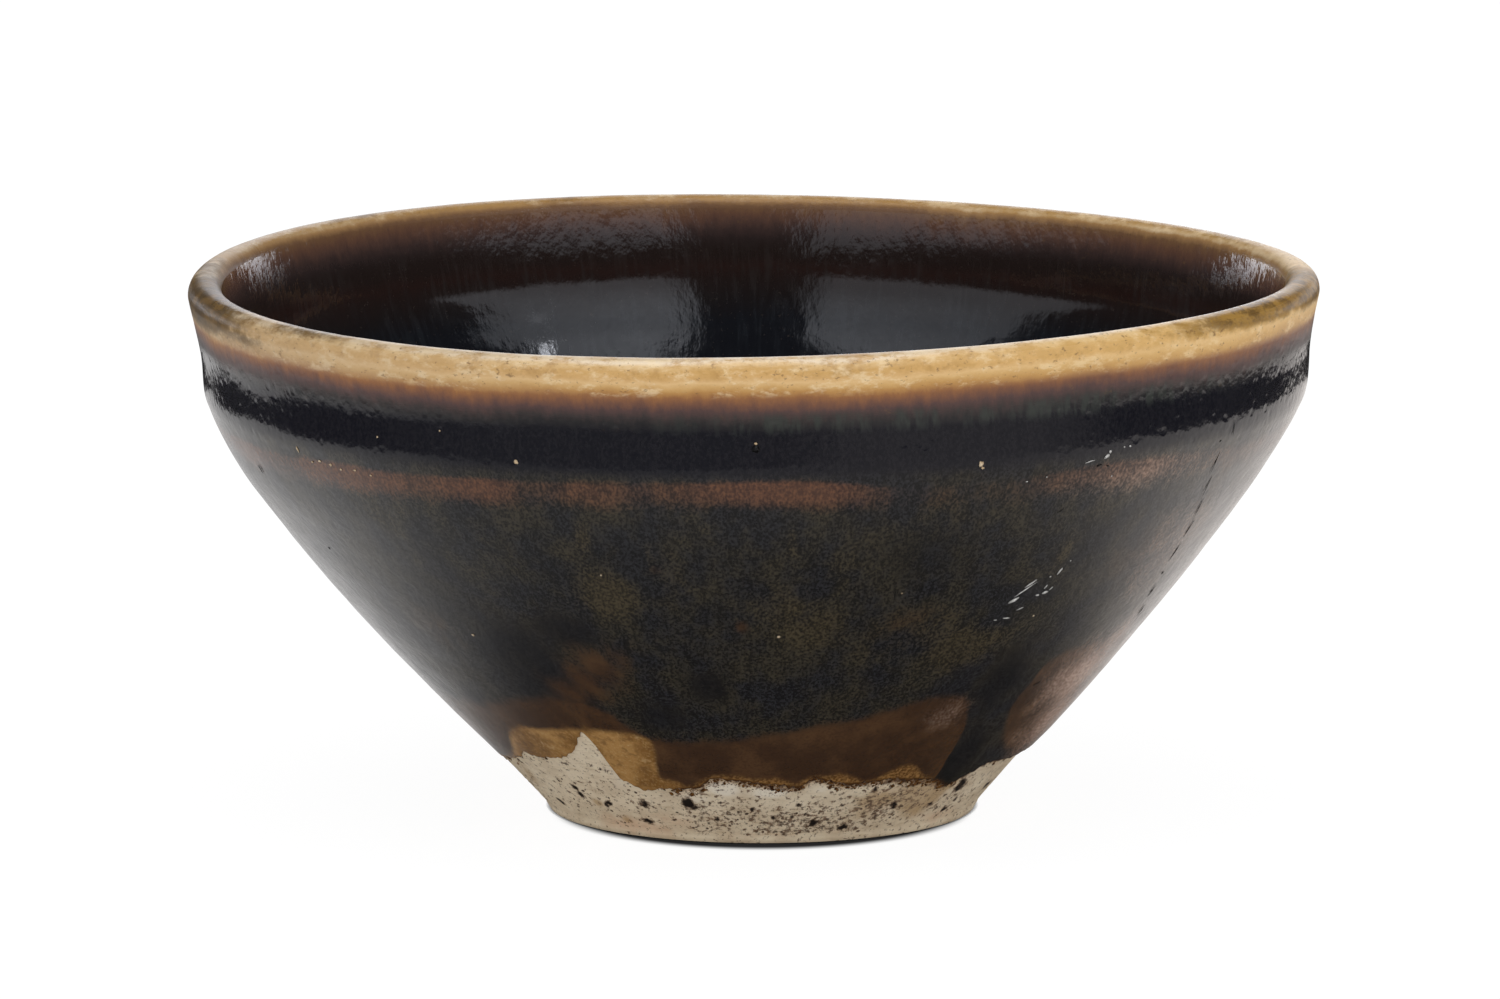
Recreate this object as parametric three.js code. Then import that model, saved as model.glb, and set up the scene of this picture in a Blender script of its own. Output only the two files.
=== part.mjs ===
// Tea bowl: thrown stoneware with a straight flaring wall, an upright collar, a rounded lip and a small cut
// foot, glazed inside and out down to a bare band above the foot. Millimetres, +Z up. The origin is under
// the middle of the bowl, on the surface that it stands on. The front, as it is usually set down, is at -Y.

import * as THREE from 'three';
import { LoftGeometry } from 'three/addons/geometries/LoftGeometry.js';
import { mergeGeometries, mergeVertices } from 'three/addons/utils/BufferGeometryUtils.js';

// Clay outside: the lip is the widest place, and the collar below it draws in a little. The lip's curve
// turns over by LIP_TURN degrees, which leaves the inside flaring a little
const HEIGHT = 57.6;
const LIP_RADIUS = 59.5;
const LIP_RISE = 1.6;
const LIP_THICKNESS = 3.1;
const LIP_TURN = 161;
const COLLAR_DROP = 7.6;
const COLLAR_SETBACK = 1.0;
const SHOULDER_DROP = 12.6;
const SHOULDER_SETBACK = 1.5;
const FOOT_RADIUS = 22.9;
const FOOT_BEVEL = 0.5;
const FOOT_BEVEL_HEIGHT = 0.8;
const FLANK_BELLY = 2.45;

// Clay inside and underneath, with wall sizes measured level
const COLLAR_WALL = 3.7;
const SHOULDER_WALL = 4.5;
const FLANK_WALL = 5.6;
const FLOOR_HEIGHT = 8.2;
const WELL_RADIUS = 13.5;
const WELL_DISH = 0.9;
const FOOT_RING_WIDTH = 4.6;
const RECESS_DEPTH = 2.4;
const RECESS_DRAFT = 0.8;

// Coats of glaze
const RIM_GLAZE = 0.35;
const OUTER_GLAZE = 0.5;
const LOWER_GLAZE = 0.32;
const INNER_GLAZE = 0.5;
const POOL_GLAZE = 1.3;
const RIM_BAND_OUTSIDE = 2.4;
const GLAZE_EDGE_HEIGHT = 7.9;
const LOWER_BAND_WIDTH = 6.6;

// The bare tongue that the glaze runs round at the front left, and the roll of glaze at the right
const TONGUE_HEIGHT = 4.6;
const TONGUE_AT = -122;
const TONGUE_HALF_WIDTH = 7;
const ROLL_GLAZE = 0.5;
const ROLL_AT = -24;
const ROLL_HALF_WIDTH = 13;

// What throwing and firing did to the true round, in full at the rim and fading down the wall: the rim is
// tipped up at the back, rises and dips twice, is oval and is slightly three cornered. The foot and the rim
// each sit a little off the middle
const TRUE_HEIGHT = 18;
const RIM_TIP = 0.53;
const RIM_TIP_AT = 68;
const RIM_SADDLE = 0.43;
const RIM_SADDLE_AT = -27;
const RIM_OVAL = 0.58;
const RIM_OVAL_AT = 5;
const RIM_CORNER = 0.8;
const RIM_CORNER_AT = -16;
const FOOT_OFFSET = 0.8;
const RIM_OFFSET = -0.6;

// How finely the shape is divided
const SEGMENTS = 60;
const BARE_STEPS = 2;
const LOWER_STEPS = 2;
const FLANK_STEPS = 6;
const COLLAR_STEPS = 4;
const RIM_STEPS = 1;
const LIP_STEPS = 6;
const INSIDE_STEPS = 12;

// The flank swells out between foot and shoulder: [share of its height, share of the belly]
const BELLY_SHARES = [
  [0, 0], [0.16, 0.43], [0.3, 0.67], [0.43, 0.88], [0.57, 1], [0.7, 0.97], [0.82, 0.83], [0.94, 0.38], [1, 0],
];

// How far the dark coat stops above the glaze edge: [degrees round from +X, share of the lower band]
const BAND_SHARES = [
  [-180, 1.1], [-150, 0.8], [-135, 1.3], [-124, 1.35], [-114, 2.1], [-104, 0.85], [-84, 0.8],
  [-66, 1.2], [-54, 1.35], [-44, 0.5], [-30, 0.3], [-12, 0.45], [6, 1.2], [40, 0.9], [75, 1.4],
  [110, 0.7], [150, 1.0], [180, 1.1],
];

// The inside keeps the flank's wall down to these shares of the height between floor and shoulder
const INSIDE_HEIGHT_SHARES = [0.5, 0.25];

// A coat is thinner along its free edge than in its middle, thins late towards the rim, and pools below
// this share of the way down the inside
const EDGE_SHARE = 0.55;
const RIM_THINNING_POWER = 4;
const POOL_START_SHARE = 0.5;

// How fast the warp of the rim fades down the wall
const WARP_POWER = 2;

const HALF_TURN_DEGREES = 180;

const lipHeight = HEIGHT - LIP_RISE;
const footEdge = new THREE.Vector2(FOOT_RADIUS + FOOT_BEVEL, FOOT_BEVEL_HEIGHT);
const shoulder = new THREE.Vector2(LIP_RADIUS - SHOULDER_SETBACK, HEIGHT - SHOULDER_DROP);
const collar = new THREE.Vector2(LIP_RADIUS - COLLAR_SETBACK, HEIGHT - COLLAR_DROP);
const lipOutside = new THREE.Vector2(LIP_RADIUS, lipHeight);

// A smooth line through pairs of place and value
function smoothLine(pairs) {
  const places = pairs.map(([place]) => place);
  const values = pairs.map(([, value]) => value);
  const line = new THREE.CubicInterpolant(places, values, 1);
  return (place) => line.evaluate(place)[0];
}

const bellyAt = smoothLine(BELLY_SHARES);
const bandShareAt = smoothLine(BAND_SHARES);

function flankPoint(share) {
  const point = footEdge.clone().lerp(shoulder, share);
  point.x += FLANK_BELLY * bellyAt(share);
  return point;
}

const flankShareAt = (height) => (height - footEdge.y) / (shoulder.y - footEdge.y);

// The collar leaves the shoulder, draws in and flares out to the lip
const collarCurve = new THREE.SplineCurve([flankPoint(BELLY_SHARES.at(-2)[0]), shoulder, collar, lipOutside]);
const shoulderShare = 1 / (collarCurve.points.length - 1);

const lipCurve = new THREE.EllipseCurve(
  LIP_RADIUS - LIP_THICKNESS / 2, lipHeight, LIP_THICKNESS / 2, LIP_RISE,
  0, THREE.MathUtils.degToRad(LIP_TURN),
);

// The inside follows the outside at the wall's thickness, then rounds into the well
function insideFlank(heightShare) {
  const point = flankPoint(flankShareAt(THREE.MathUtils.lerp(FLOOR_HEIGHT, shoulder.y, heightShare)));
  point.x -= FLANK_WALL;
  return point;
}

const insideCurve = new THREE.SplineCurve([
  lipCurve.getPoint(1),
  new THREE.Vector2(collar.x - COLLAR_WALL, collar.y),
  new THREE.Vector2(shoulder.x - SHOULDER_WALL, shoulder.y),
  ...INSIDE_HEIGHT_SHARES.map(insideFlank),
  new THREE.Vector2(WELL_RADIUS, FLOOR_HEIGHT + WELL_DISH),
  new THREE.Vector2(0, FLOOR_HEIGHT),
]);

// How strongly a feature that is centred at one angle counts at another
function nearness(degrees, centre, halfWidth) {
  const apart = THREE.MathUtils.euclideanModulo(degrees - centre + HALF_TURN_DEGREES, 2 * HALF_TURN_DEGREES);
  return Math.exp(-(((apart - HALF_TURN_DEGREES) / halfWidth) ** 2));
}

const glazeEdgeAt = (degrees) =>
  GLAZE_EDGE_HEIGHT + TONGUE_HEIGHT * nearness(degrees, TONGUE_AT, TONGUE_HALF_WIDTH);

const darkLineAt = (degrees) => glazeEdgeAt(degrees) + LOWER_BAND_WIDTH * bandShareAt(degrees);

const rollAt = (degrees) => ROLL_GLAZE * nearness(degrees, ROLL_AT, ROLL_HALF_WIDTH);

// Points from one share of a curve to another, without the first
function steps(count, pointAt, from = 0, to = 1) {
  return Array.from({ length: count }, (_, i) => pointAt(THREE.MathUtils.lerp(from, to, (i + 1) / count)));
}

const rimLineShare = 1 - (RIM_BAND_OUTSIDE / (lipHeight - collar.y)) * (1 - 2 * shoulderShare);

// The clay's skin at one angle, from the foot's edge up the outside, over the lip and down to the well
function skinAt(degrees) {
  const edge = flankShareAt(glazeEdgeAt(degrees));
  const line = flankShareAt(darkLineAt(degrees));
  return [
    footEdge,
    ...steps(BARE_STEPS, flankPoint, 0, edge),
    ...steps(LOWER_STEPS, flankPoint, edge, line),
    ...steps(FLANK_STEPS, flankPoint, line, 1),
    ...steps(COLLAR_STEPS, (share) => collarCurve.getPoint(share), shoulderShare, rimLineShare),
    ...steps(RIM_STEPS, (share) => collarCurve.getPoint(share), rimLineShare, 1),
    ...steps(LIP_STEPS, (share) => lipCurve.getPoint(share)),
    ...steps(INSIDE_STEPS, (share) => insideCurve.getPointAt(share)),
  ];
}

// Where each coat begins on the skin
const LOWER_START = BARE_STEPS;
const OUTER_START = LOWER_START + LOWER_STEPS;
const RIM_START = OUTER_START + FLANK_STEPS + COLLAR_STEPS;
const INNER_START = RIM_START + RIM_STEPS + LIP_STEPS;
const WELL_CENTRE = INNER_START + INSIDE_STEPS;

// Square to the skin at one of its points, out of the clay
function outwardAt(skin, index) {
  const before = skin[index - 1];
  const after = skin[index + 1] ?? new THREE.Vector2(-before.x, before.y);
  return new THREE.Vector2(after.y - before.y, before.x - after.x).normalize();
}

// A swing that goes a number of times round the bowl and is highest at one angle
const swing = (times, degrees, highestAt) => Math.cos(THREE.MathUtils.degToRad(times * (degrees - highestAt)));

// The bowl's place for a point of a section: round the wheel's axis, then as firing left it
function settle(point, degrees) {
  const angle = THREE.MathUtils.degToRad(degrees);
  const share = point.y / HEIGHT;
  const above = THREE.MathUtils.clamp((point.y - TRUE_HEIGHT) / (HEIGHT - TRUE_HEIGHT), 0, 1);
  const rise = above ** WARP_POWER;
  const spread = RIM_OVAL * swing(2, degrees, RIM_OVAL_AT) + RIM_CORNER * swing(3, degrees, RIM_CORNER_AT);
  const lift = RIM_TIP * swing(1, degrees, RIM_TIP_AT) + RIM_SADDLE * swing(2, degrees, RIM_SADDLE_AT);
  const radius = point.x * (1 + (rise * spread) / LIP_RADIUS);
  const offset = THREE.MathUtils.lerp(FOOT_OFFSET, RIM_OFFSET, Math.sin((share * Math.PI) / 2));
  return new THREE.Vector3(
    offset + radius * Math.cos(angle), radius * Math.sin(angle), point.y + rise * lift,
  );
}

// Rings round the bowl from the points that a section has at each angle
function ringsOf(sectionAt) {
  const spokes = Array.from({ length: SEGMENTS }, (_, i) => {
    const degrees = (i / SEGMENTS) * 2 * HALF_TURN_DEGREES - HALF_TURN_DEGREES;
    return sectionAt(degrees).map((point) => settle(point, degrees));
  });
  return spokes[0].map((_, i) => spokes.map((spoke) => spoke[i]));
}

// The same surface, seen from its other side
function turnedOver(surface) {
  surface.index.array.reverse();
  return surface;
}

function closedSolid(surfaces) {
  const joined = surfaces.length > 1 ? mergeGeometries(surfaces) : surfaces[0];
  const bare = new THREE.BufferGeometry();
  bare.setAttribute('position', joined.getAttribute('position'));
  bare.setIndex(joined.index);
  const solid = mergeVertices(bare);
  solid.computeVertexNormals();
  return solid;
}

// A coat between two places on the skin: its face, its back against the clay, and its two edges, or one
// where it closes over the middle of the well
function coat(start, end, thicknessAt) {
  const clay = ringsOf((degrees) => skinAt(degrees).slice(start, end + 1));
  const face = ringsOf((degrees) => {
    const skin = skinAt(degrees);
    return skin.slice(start, end + 1).map((point, i) => {
      const thickness = thicknessAt(i / (end - start), degrees);
      return outwardAt(skin, start + i).multiplyScalar(thickness).add(point);
    });
  });
  const surfaces = [
    new LoftGeometry(face),
    turnedOver(new LoftGeometry(clay)),
    new LoftGeometry([clay[0], face[0]]),
  ];
  if (end !== WELL_CENTRE) surfaces.push(turnedOver(new LoftGeometry([clay.at(-1), face.at(-1)])));
  return closedSolid(surfaces);
}

function stonewareBody() {
  const recessRadius = FOOT_RADIUS - FOOT_RING_WIDTH;
  const underside = [
    new THREE.Vector2(0, RECESS_DEPTH),
    new THREE.Vector2(recessRadius - RECESS_DRAFT, RECESS_DEPTH),
    new THREE.Vector2(recessRadius, 0),
    new THREE.Vector2(FOOT_RADIUS, 0),
  ];
  return closedSolid([new LoftGeometry(ringsOf((degrees) => [...underside, ...skinAt(degrees)]))]);
}

// The coat thins at its free lower edge, where the roll swells it
function lowerGlaze() {
  const thicknessAt = (share, degrees) =>
    LOWER_GLAZE * THREE.MathUtils.lerp(EDGE_SHARE, 1, share) + rollAt(degrees);
  return coat(LOWER_START, OUTER_START, thicknessAt);
}

// The dark coat begins as thin as the coat that it runs over, and is thickest on the flank and the collar
function outerGlaze() {
  const thicknessAt = (share, degrees) => {
    const started = THREE.MathUtils.clamp(share * FLANK_STEPS, 0, 1);
    const full = THREE.MathUtils.lerp(OUTER_GLAZE, RIM_GLAZE, share ** RIM_THINNING_POWER);
    return THREE.MathUtils.lerp(LOWER_GLAZE + rollAt(degrees), full, started);
  };
  return coat(OUTER_START, RIM_START, thicknessAt);
}

function rimGlaze() {
  return coat(RIM_START, INNER_START, () => RIM_GLAZE);
}

// The poured coat runs down and gathers in the well
function innerGlaze() {
  const thicknessAt = (share) => {
    const wall = THREE.MathUtils.lerp(RIM_GLAZE, INNER_GLAZE, Math.sqrt(share));
    return THREE.MathUtils.lerp(wall, POOL_GLAZE, THREE.MathUtils.smoothstep(share, POOL_START_SHARE, 1));
  };
  return coat(INNER_START, WELL_CENTRE, thicknessAt);
}

function piece(name, geometry, color, roughness) {
  const material = new THREE.MeshStandardMaterial({ color, roughness, metalness: 0 });
  const mesh = new THREE.Mesh(geometry, material);
  mesh.name = name;
  return mesh;
}

const bowl = new THREE.Group();
bowl.name = 'tea_bowl';
bowl.add(
  piece('stoneware_body', stonewareBody(), 0xbdb2a4, 0.85),
  piece('lower_glaze', lowerGlaze(), 0x5b3517, 0.35),
  piece('outer_glaze', outerGlaze(), 0x17181b, 0.25),
  piece('rim_glaze', rimGlaze(), 0xa8834f, 0.4),
  piece('inner_glaze', innerGlaze(), 0x1a1412, 0.2),
);

export default bowl;
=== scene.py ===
# Tea bowl of thrown stoneware: a pale lip, a dark coat with fine upright streaks, an amber brown coat
# below it that stops in lobes above a bare foot, and a dark coat poured inside. Front at -Y, +Z up.
# Shapes are worked out in millimetres, as a potter measures them, and become metres in the meshes.

import math

import bmesh
import bpy
import numpy as np
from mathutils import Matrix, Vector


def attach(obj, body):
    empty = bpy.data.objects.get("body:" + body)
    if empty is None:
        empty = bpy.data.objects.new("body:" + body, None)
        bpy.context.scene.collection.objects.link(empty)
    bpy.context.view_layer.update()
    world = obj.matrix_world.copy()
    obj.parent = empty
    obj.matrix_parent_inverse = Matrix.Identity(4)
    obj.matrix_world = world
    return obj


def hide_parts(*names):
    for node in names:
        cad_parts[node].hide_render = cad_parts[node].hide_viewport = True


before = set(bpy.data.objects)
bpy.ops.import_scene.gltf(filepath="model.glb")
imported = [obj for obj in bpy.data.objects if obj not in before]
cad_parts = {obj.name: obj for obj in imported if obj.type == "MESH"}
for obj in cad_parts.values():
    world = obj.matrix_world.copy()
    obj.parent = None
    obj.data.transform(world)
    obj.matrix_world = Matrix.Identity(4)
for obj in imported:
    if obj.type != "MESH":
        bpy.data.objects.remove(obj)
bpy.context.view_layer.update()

MM = 0.001

# The clay bowl
HEIGHT = 57.6
LIP_RADIUS = 59.5
LIP_RISE = 1.6
LIP_THICKNESS = 3.1
LIP_TURN = 161
COLLAR_DROP = 7.6
COLLAR_SETBACK = 1.0
SHOULDER_DROP = 12.6
SHOULDER_SETBACK = 1.5
FOOT_RADIUS = 22.9
FOOT_BEVEL = 0.5
FOOT_BEVEL_HEIGHT = 0.8
FLANK_BELLY = 2.45
COLLAR_WALL = 3.7
SHOULDER_WALL = 4.5
FLANK_WALL = 5.6
# Where the inside strays from an even wall, outward and upward
INSIDE_COLLAR_TOP, INSIDE_COLLAR_FOOT, INSIDE_SHOULDER = (0.1, 0.8), (-0.3, -1), (-0.75, 0)
FLOOR_HEIGHT = 8.2
WELL_RADIUS = 13.5
WELL_DISH = 0.9
FOOT_RING_WIDTH = 4.6
RECESS_DEPTH = 2.4
RECESS_DRAFT = 0.8

# The coats of glaze
RIM_GLAZE = 0.35
OUTER_GLAZE = 0.5
LOWER_GLAZE = 0.32
INNER_GLAZE = 0.5
POOL_GLAZE = 1.3
EDGE_GLAZE = 0.2
EDGE_ROUNDING = 0.35
LUMP_FOOT = 0.46
LEAST_BAND = 1.2
CLAY_UNDER_EDGE = 0.4
RIM_BAND_OUTSIDE = 2.4
DARK_LINE_GUIDE = 7.9
LOWER_BAND_WIDTH = 6.6
TONGUE_HEIGHT, TONGUE_AT, TONGUE_HALF_WIDTH = 4.6, -122, 7
ROLL_GLAZE, ROLL_AT, ROLL_HALF_WIDTH = 0.5, -24, 13

# What throwing and firing did to the true round
TRUE_HEIGHT = 18
RIM_TIP, RIM_TIP_AT = 0.53, 68
RIM_SADDLE, RIM_SADDLE_AT = 0.43, -27
RIM_OVAL, RIM_OVAL_AT = 0.58, 5
RIM_CORNER, RIM_CORNER_AT = 0.8, -16
FOOT_OFFSET, RIM_OFFSET = 0.8, -0.6
COLLAR_SLIP, COLLAR_SLIP_HEIGHT, COLLAR_SLIP_SPAN = 0.38, 47, 5.5
FOOT_WAIST, FOOT_WAIST_HEIGHT, FOOT_WAIST_SPAN = 0.3, 6, 5

# The meshes: points in a ring, the angle in degrees past which an edge is sharp, the radius of the round
# wall that streaks and noise are laid on, how far along it the underside lies, how far that is from the
# glaze, and the rings in the back of a coat
SEGMENTS = 720
SHARP = 50
WALL_RADIUS = 50
UNDERSIDE_SHIFT = 80
FAR_BELOW_GLAZE = 9
BACKING_ROWS = 9
DEGREES = np.arange(SEGMENTS) / SEGMENTS * 360 - 180

# The flank's swell between foot and shoulder: (share of its height, share of the belly)
BELLY = [
    (0, 0), (0.16, 0.43), (0.3, 0.67), (0.43, 0.88), (0.57, 1), (0.7, 0.97), (0.82, 0.83), (0.94, 0.38),
    (1, 0),
]

# How far the dark coat stops above the tongue's line: (degrees round from +X, share of the lower band)
DARK_LINE = [
    (-180, 1.1), (-150, 0.8), (-135, 1.3), (-124, 1.35), (-114, 2.1), (-104, 0.85), (-84, 0.8), (-66, 1.2),
    (-54, 1.35), (-44, 0.5), (-30, 0.3), (-12, 0.45), (6, 1.2), (40, 0.9), (75, 1.4), (110, 0.7), (150, 1),
    (180, 1.1),
]

# The glaze edge above the bare clay: (degrees, height)
GLAZE_EDGE = [
    (-180, 7.2), (-170, 6.6), (-160, 7), (-151, 7.7), (-147, 8.3), (-144.5, 8.95), (-142, 8.75),
    (-138, 8.8), (-133.5, 9.1), (-130.5, 9.6), (-128, 10.3), (-125.8, 11.2), (-124, 12.2), (-122.2, 13),
    (-121.2, 11.9), (-120.7, 10.4), (-120.4, 8.4), (-119, 7.2), (-117, 6.45), (-115, 6.25), (-110, 6.6),
    (-105, 6.8), (-102, 7.2), (-100.5, 7.9), (-97, 8.05), (-93, 7.9), (-90, 7.6), (-85, 7.3), (-81, 7.3),
    (-79.2, 8.3), (-77, 8), (-74, 7.4), (-62, 7.4), (-58, 7.2), (-52, 6.8), (-48.5, 6.45), (-45, 5.8),
    (-42, 6.2), (-39, 6.95), (-37, 7.6), (-33, 7.9), (-30, 7.8), (-26, 7.9), (-20, 8.3), (-10, 8.3),
    (5, 8.1), (25, 7.3), (45, 8.6), (62, 7.6), (80, 7), (95, 8.1), (115, 7.5), (135, 8.3), (155, 7),
    (180, 7.2),
]


# The cubic between two points, t of the way along, that leaves one and arrives at the other on a slope
def cubic(t, start, end, leaving, arriving):
    return (start * (1 + 2 * t) * (1 - t) ** 2 + leaving * t * (1 - t) ** 2
            + end * t * t * (3 - 2 * t) + arriving * t * t * (t - 1))


# A smooth line through pairs of place and value
def smooth_line(pairs):
    places, values = np.array(pairs, float).T
    steepness = np.diff(values) / np.diff(places)
    slopes = np.concatenate([steepness[:1], (steepness[1:] + steepness[:-1]) / 2, steepness[-1:]])

    def line(place):
        i = np.clip(np.searchsorted(places, place, side="right") - 1, 0, len(places) - 2)
        gap = places[i + 1] - places[i]
        t = np.clip((place - places[i]) / gap, 0, 1)
        return cubic(t, values[i], values[i + 1], slopes[i] * gap, slopes[i + 1] * gap)

    return line


def smoothstep(value, low, high):
    t = np.clip((value - low) / (high - low), 0, 1)
    return t * t * (3 - 2 * t)


# A curve through section points, whose steepness at each point follows the gaps on both sides of it
def spline(points, share):
    points = np.array(points, float)
    gaps = np.linalg.norm(np.diff(points, axis=0), axis=1)
    slopes = np.diff(points, axis=0) / gaps[:, None]
    before, after = gaps[:-1, None], gaps[1:, None]
    middle = (slopes[:-1] * after + slopes[1:] * before) / (before + after)
    slopes = np.concatenate([slopes[:1], middle, slopes[-1:]])
    share = share * (len(points) - 1)
    i = np.clip(share.astype(int), 0, len(points) - 2)
    t, gap = (share - i)[:, None], gaps[i][:, None]
    return cubic(t, points[i], points[i + 1], slopes[i] * gap, slopes[i + 1] * gap)


lip_height = HEIGHT - LIP_RISE
foot_edge = np.array([FOOT_RADIUS + FOOT_BEVEL, FOOT_BEVEL_HEIGHT])
shoulder = np.array([LIP_RADIUS - SHOULDER_SETBACK, HEIGHT - SHOULDER_DROP])
collar = np.array([LIP_RADIUS - COLLAR_SETBACK, HEIGHT - COLLAR_DROP])
lip_outside = np.array([LIP_RADIUS, lip_height])
belly_at = smooth_line(BELLY)


def flank(share):
    share = np.atleast_1d(share)
    line = foot_edge + (shoulder - foot_edge) * share[:, None]
    return line + np.stack([FLANK_BELLY * belly_at(share), 0 * share], 1)


def inside_flank(height_share):
    height = FLOOR_HEIGHT + (shoulder[1] - FLOOR_HEIGHT) * height_share
    return flank((height - foot_edge[1]) / (shoulder[1] - foot_edge[1]))[0] - [FLANK_WALL, 0]


def lip(share):
    angle = np.radians(LIP_TURN * share)
    out = LIP_RADIUS - LIP_THICKNESS / 2 * (1 - np.cos(angle))
    return np.stack([out, lip_height + LIP_RISE * np.sin(angle)], 1)


# The clay's skin as one line of (radius, height), from the foot's edge over the lip to the well's middle
shares = np.linspace(0, 1, 401)
inside_points = [
    lip(np.ones(1))[0], collar - [COLLAR_WALL, 0] + INSIDE_COLLAR_TOP,
    collar - [COLLAR_WALL, 0] + INSIDE_COLLAR_FOOT, shoulder - [SHOULDER_WALL, 0] + INSIDE_SHOULDER,
    *[inside_flank(height_share) for height_share in (0.75, 0.5, 0.25)],
    [WELL_RADIUS, FLOOR_HEIGHT + WELL_DISH], [0, FLOOR_HEIGHT],
]
collar_points = [flank(0.94)[0], shoulder, collar, lip_outside]
stretches = [
    flank(shares), spline(collar_points, 1 / 3 + 2 / 3 * shares)[1:], lip(shares)[1:],
    spline(inside_points, shares)[1:],
]
skin = np.concatenate(stretches)
skin_length = np.concatenate([[0], np.cumsum(np.linalg.norm(np.diff(skin, axis=0), axis=1))])
skin_ends = np.cumsum([len(stretch) for stretch in stretches]) - 1
SHOULDER_MARK, LIP_MARK, INSIDE_MARK, WELL_MARK = skin_length[skin_ends]
RIM_MARK = LIP_MARK - RIM_BAND_OUTSIDE
# Past this mark the lip's rise counts on down the inside
CREST_MARK = max(LIP_MARK + 1, INSIDE_MARK - 2)

ahead = np.concatenate([skin[1:], [[-skin[-2, 0], skin[-2, 1]]]])
behind = np.concatenate([[skin[0] * 2 - skin[1]], skin[:-1]])
skin_out = np.stack([ahead[:, 1] - behind[:, 1], behind[:, 0] - ahead[:, 0]], 1)
skin_out /= np.linalg.norm(skin_out, axis=1)[:, None]


# Radius, height and outward direction at a distance along the skin
def on_skin(length):
    return [np.interp(length, skin_length, line) for line in (*skin.T, *skin_out.T)]


def flank_mark(height):
    return np.interp(height, skin[: skin_ends[0] + 1, 1], skin_length[: skin_ends[0] + 1])


def collar_mark(height):
    rows = slice(skin_ends[0], skin_ends[1] + 1)
    return np.interp(height, skin[rows, 1], skin_length[rows])


def nearness(degrees, centre, half_width):
    apart = (degrees - centre + 180) % 360 - 180
    return np.exp(-((apart / half_width) ** 2))


def swing(times, degrees, highest_at):
    return np.cos(np.radians(times * (degrees - highest_at)))


# Uneven waves round the bowl that meet where they began
def ripple(degrees, seed, fewest, most):
    chance = np.random.default_rng(seed)
    total = np.zeros_like(degrees, dtype=float)
    for times in range(fewest, most, max(1, (most - fewest) // 24)):
        total += chance.normal() * np.cos(np.radians(times * degrees) + chance.uniform(0, 2 * np.pi))
    return total / np.sqrt(12)


# Where firing left a point that lies at a radius, an angle and a height
def settle(radius, degrees, height):
    angle = np.radians(degrees)
    rise = np.clip((height - TRUE_HEIGHT) / (HEIGHT - TRUE_HEIGHT), 0, 1) ** 2
    spread = RIM_OVAL * swing(2, degrees, RIM_OVAL_AT) + RIM_CORNER * swing(3, degrees, RIM_CORNER_AT)
    lift = RIM_TIP * swing(1, degrees, RIM_TIP_AT) + RIM_SADDLE * swing(2, degrees, RIM_SADDLE_AT)
    radius = radius * (1 + rise * spread / LIP_RADIUS)
    waist = FOOT_WAIST * np.exp(-(((height - FOOT_WAIST_HEIGHT) / FOOT_WAIST_SPAN) ** 2))
    radius = radius * (1 - waist / FOOT_RADIUS)
    offset = FOOT_OFFSET + (RIM_OFFSET - FOOT_OFFSET) * np.sin(height / HEIGHT * np.pi / 2)
    offset = offset + COLLAR_SLIP * np.exp(-(((height - COLLAR_SLIP_HEIGHT) / COLLAR_SLIP_SPAN) ** 2))
    return np.stack([offset + radius * np.cos(angle), radius * np.sin(angle), height + rise * lift], -1)


# The lines where one coat meets the next, as distances along the skin at each angle
def glaze_edge_marks():
    crumble = 0.03 + 0.1 * (nearness(DEGREES, -72, 34) + 0.3)
    wobble = crumble * ripple(DEGREES, 3, 30, 260)
    return flank_mark(smooth_line(GLAZE_EDGE)(DEGREES) + wobble)


def dark_line_marks():
    tongue = DARK_LINE_GUIDE + TONGUE_HEIGHT * nearness(DEGREES, TONGUE_AT, TONGUE_HALF_WIDTH)
    return flank_mark(tongue + LOWER_BAND_WIDTH * smooth_line(DARK_LINE)(DEGREES))


# A mesh from rows of a ring of points, in millimetres, and the facts about them: a value or a vector for
# every point. A ring of one point closes the shape; otherwise the last ring joins the first
def ring_mesh(name, rows):
    rings = [points for points, _ in rows]
    counts = np.array([len(ring) for ring in rings])
    starts = np.concatenate([[0], np.cumsum(counts)])
    ends_in_points = counts[0] == 1
    here = np.arange(SEGMENTS)
    onward = (here + 1) % SEGMENTS
    faces = []
    for i in range(len(rings) - (1 if ends_in_points else 0)):
        j = (i + 1) % len(rings)
        low, high = starts[i], starts[j]
        if counts[i] == 1:
            corners = [low + 0 * here, high + onward, high + here]
        elif counts[j] == 1:
            corners = [low + here, low + onward, high + 0 * here]
        else:
            corners = [low + here, low + onward, high + onward, high + here]
        faces += np.stack(corners, 1).tolist()
    mesh = smooth_mesh(name, np.concatenate(rings), faces)
    for mark in rows[0][1]:
        values = np.concatenate([facts[mark] for _, facts in rows])
        kind = "FLOAT_VECTOR" if values.ndim > 1 else "FLOAT"
        place = "vector" if values.ndim > 1 else "value"
        mesh.attributes.new(mark, kind, "POINT").data.foreach_set(place, values.astype(np.float32).ravel())
    mesh.set_sharp_from_angle(angle=math.radians(SHARP))
    return in_scene(bpy.data.objects.new(name, mesh))


def smooth_mesh(name, points, faces):
    mesh = bpy.data.meshes.new(name)
    mesh.from_pydata((np.array(points) * MM).tolist(), [], faces)
    mesh.polygons.foreach_set("use_smooth", np.ones(len(mesh.polygons), bool))
    return mesh


def in_scene(thing):
    bpy.context.scene.collection.objects.link(thing)
    return thing


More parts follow.
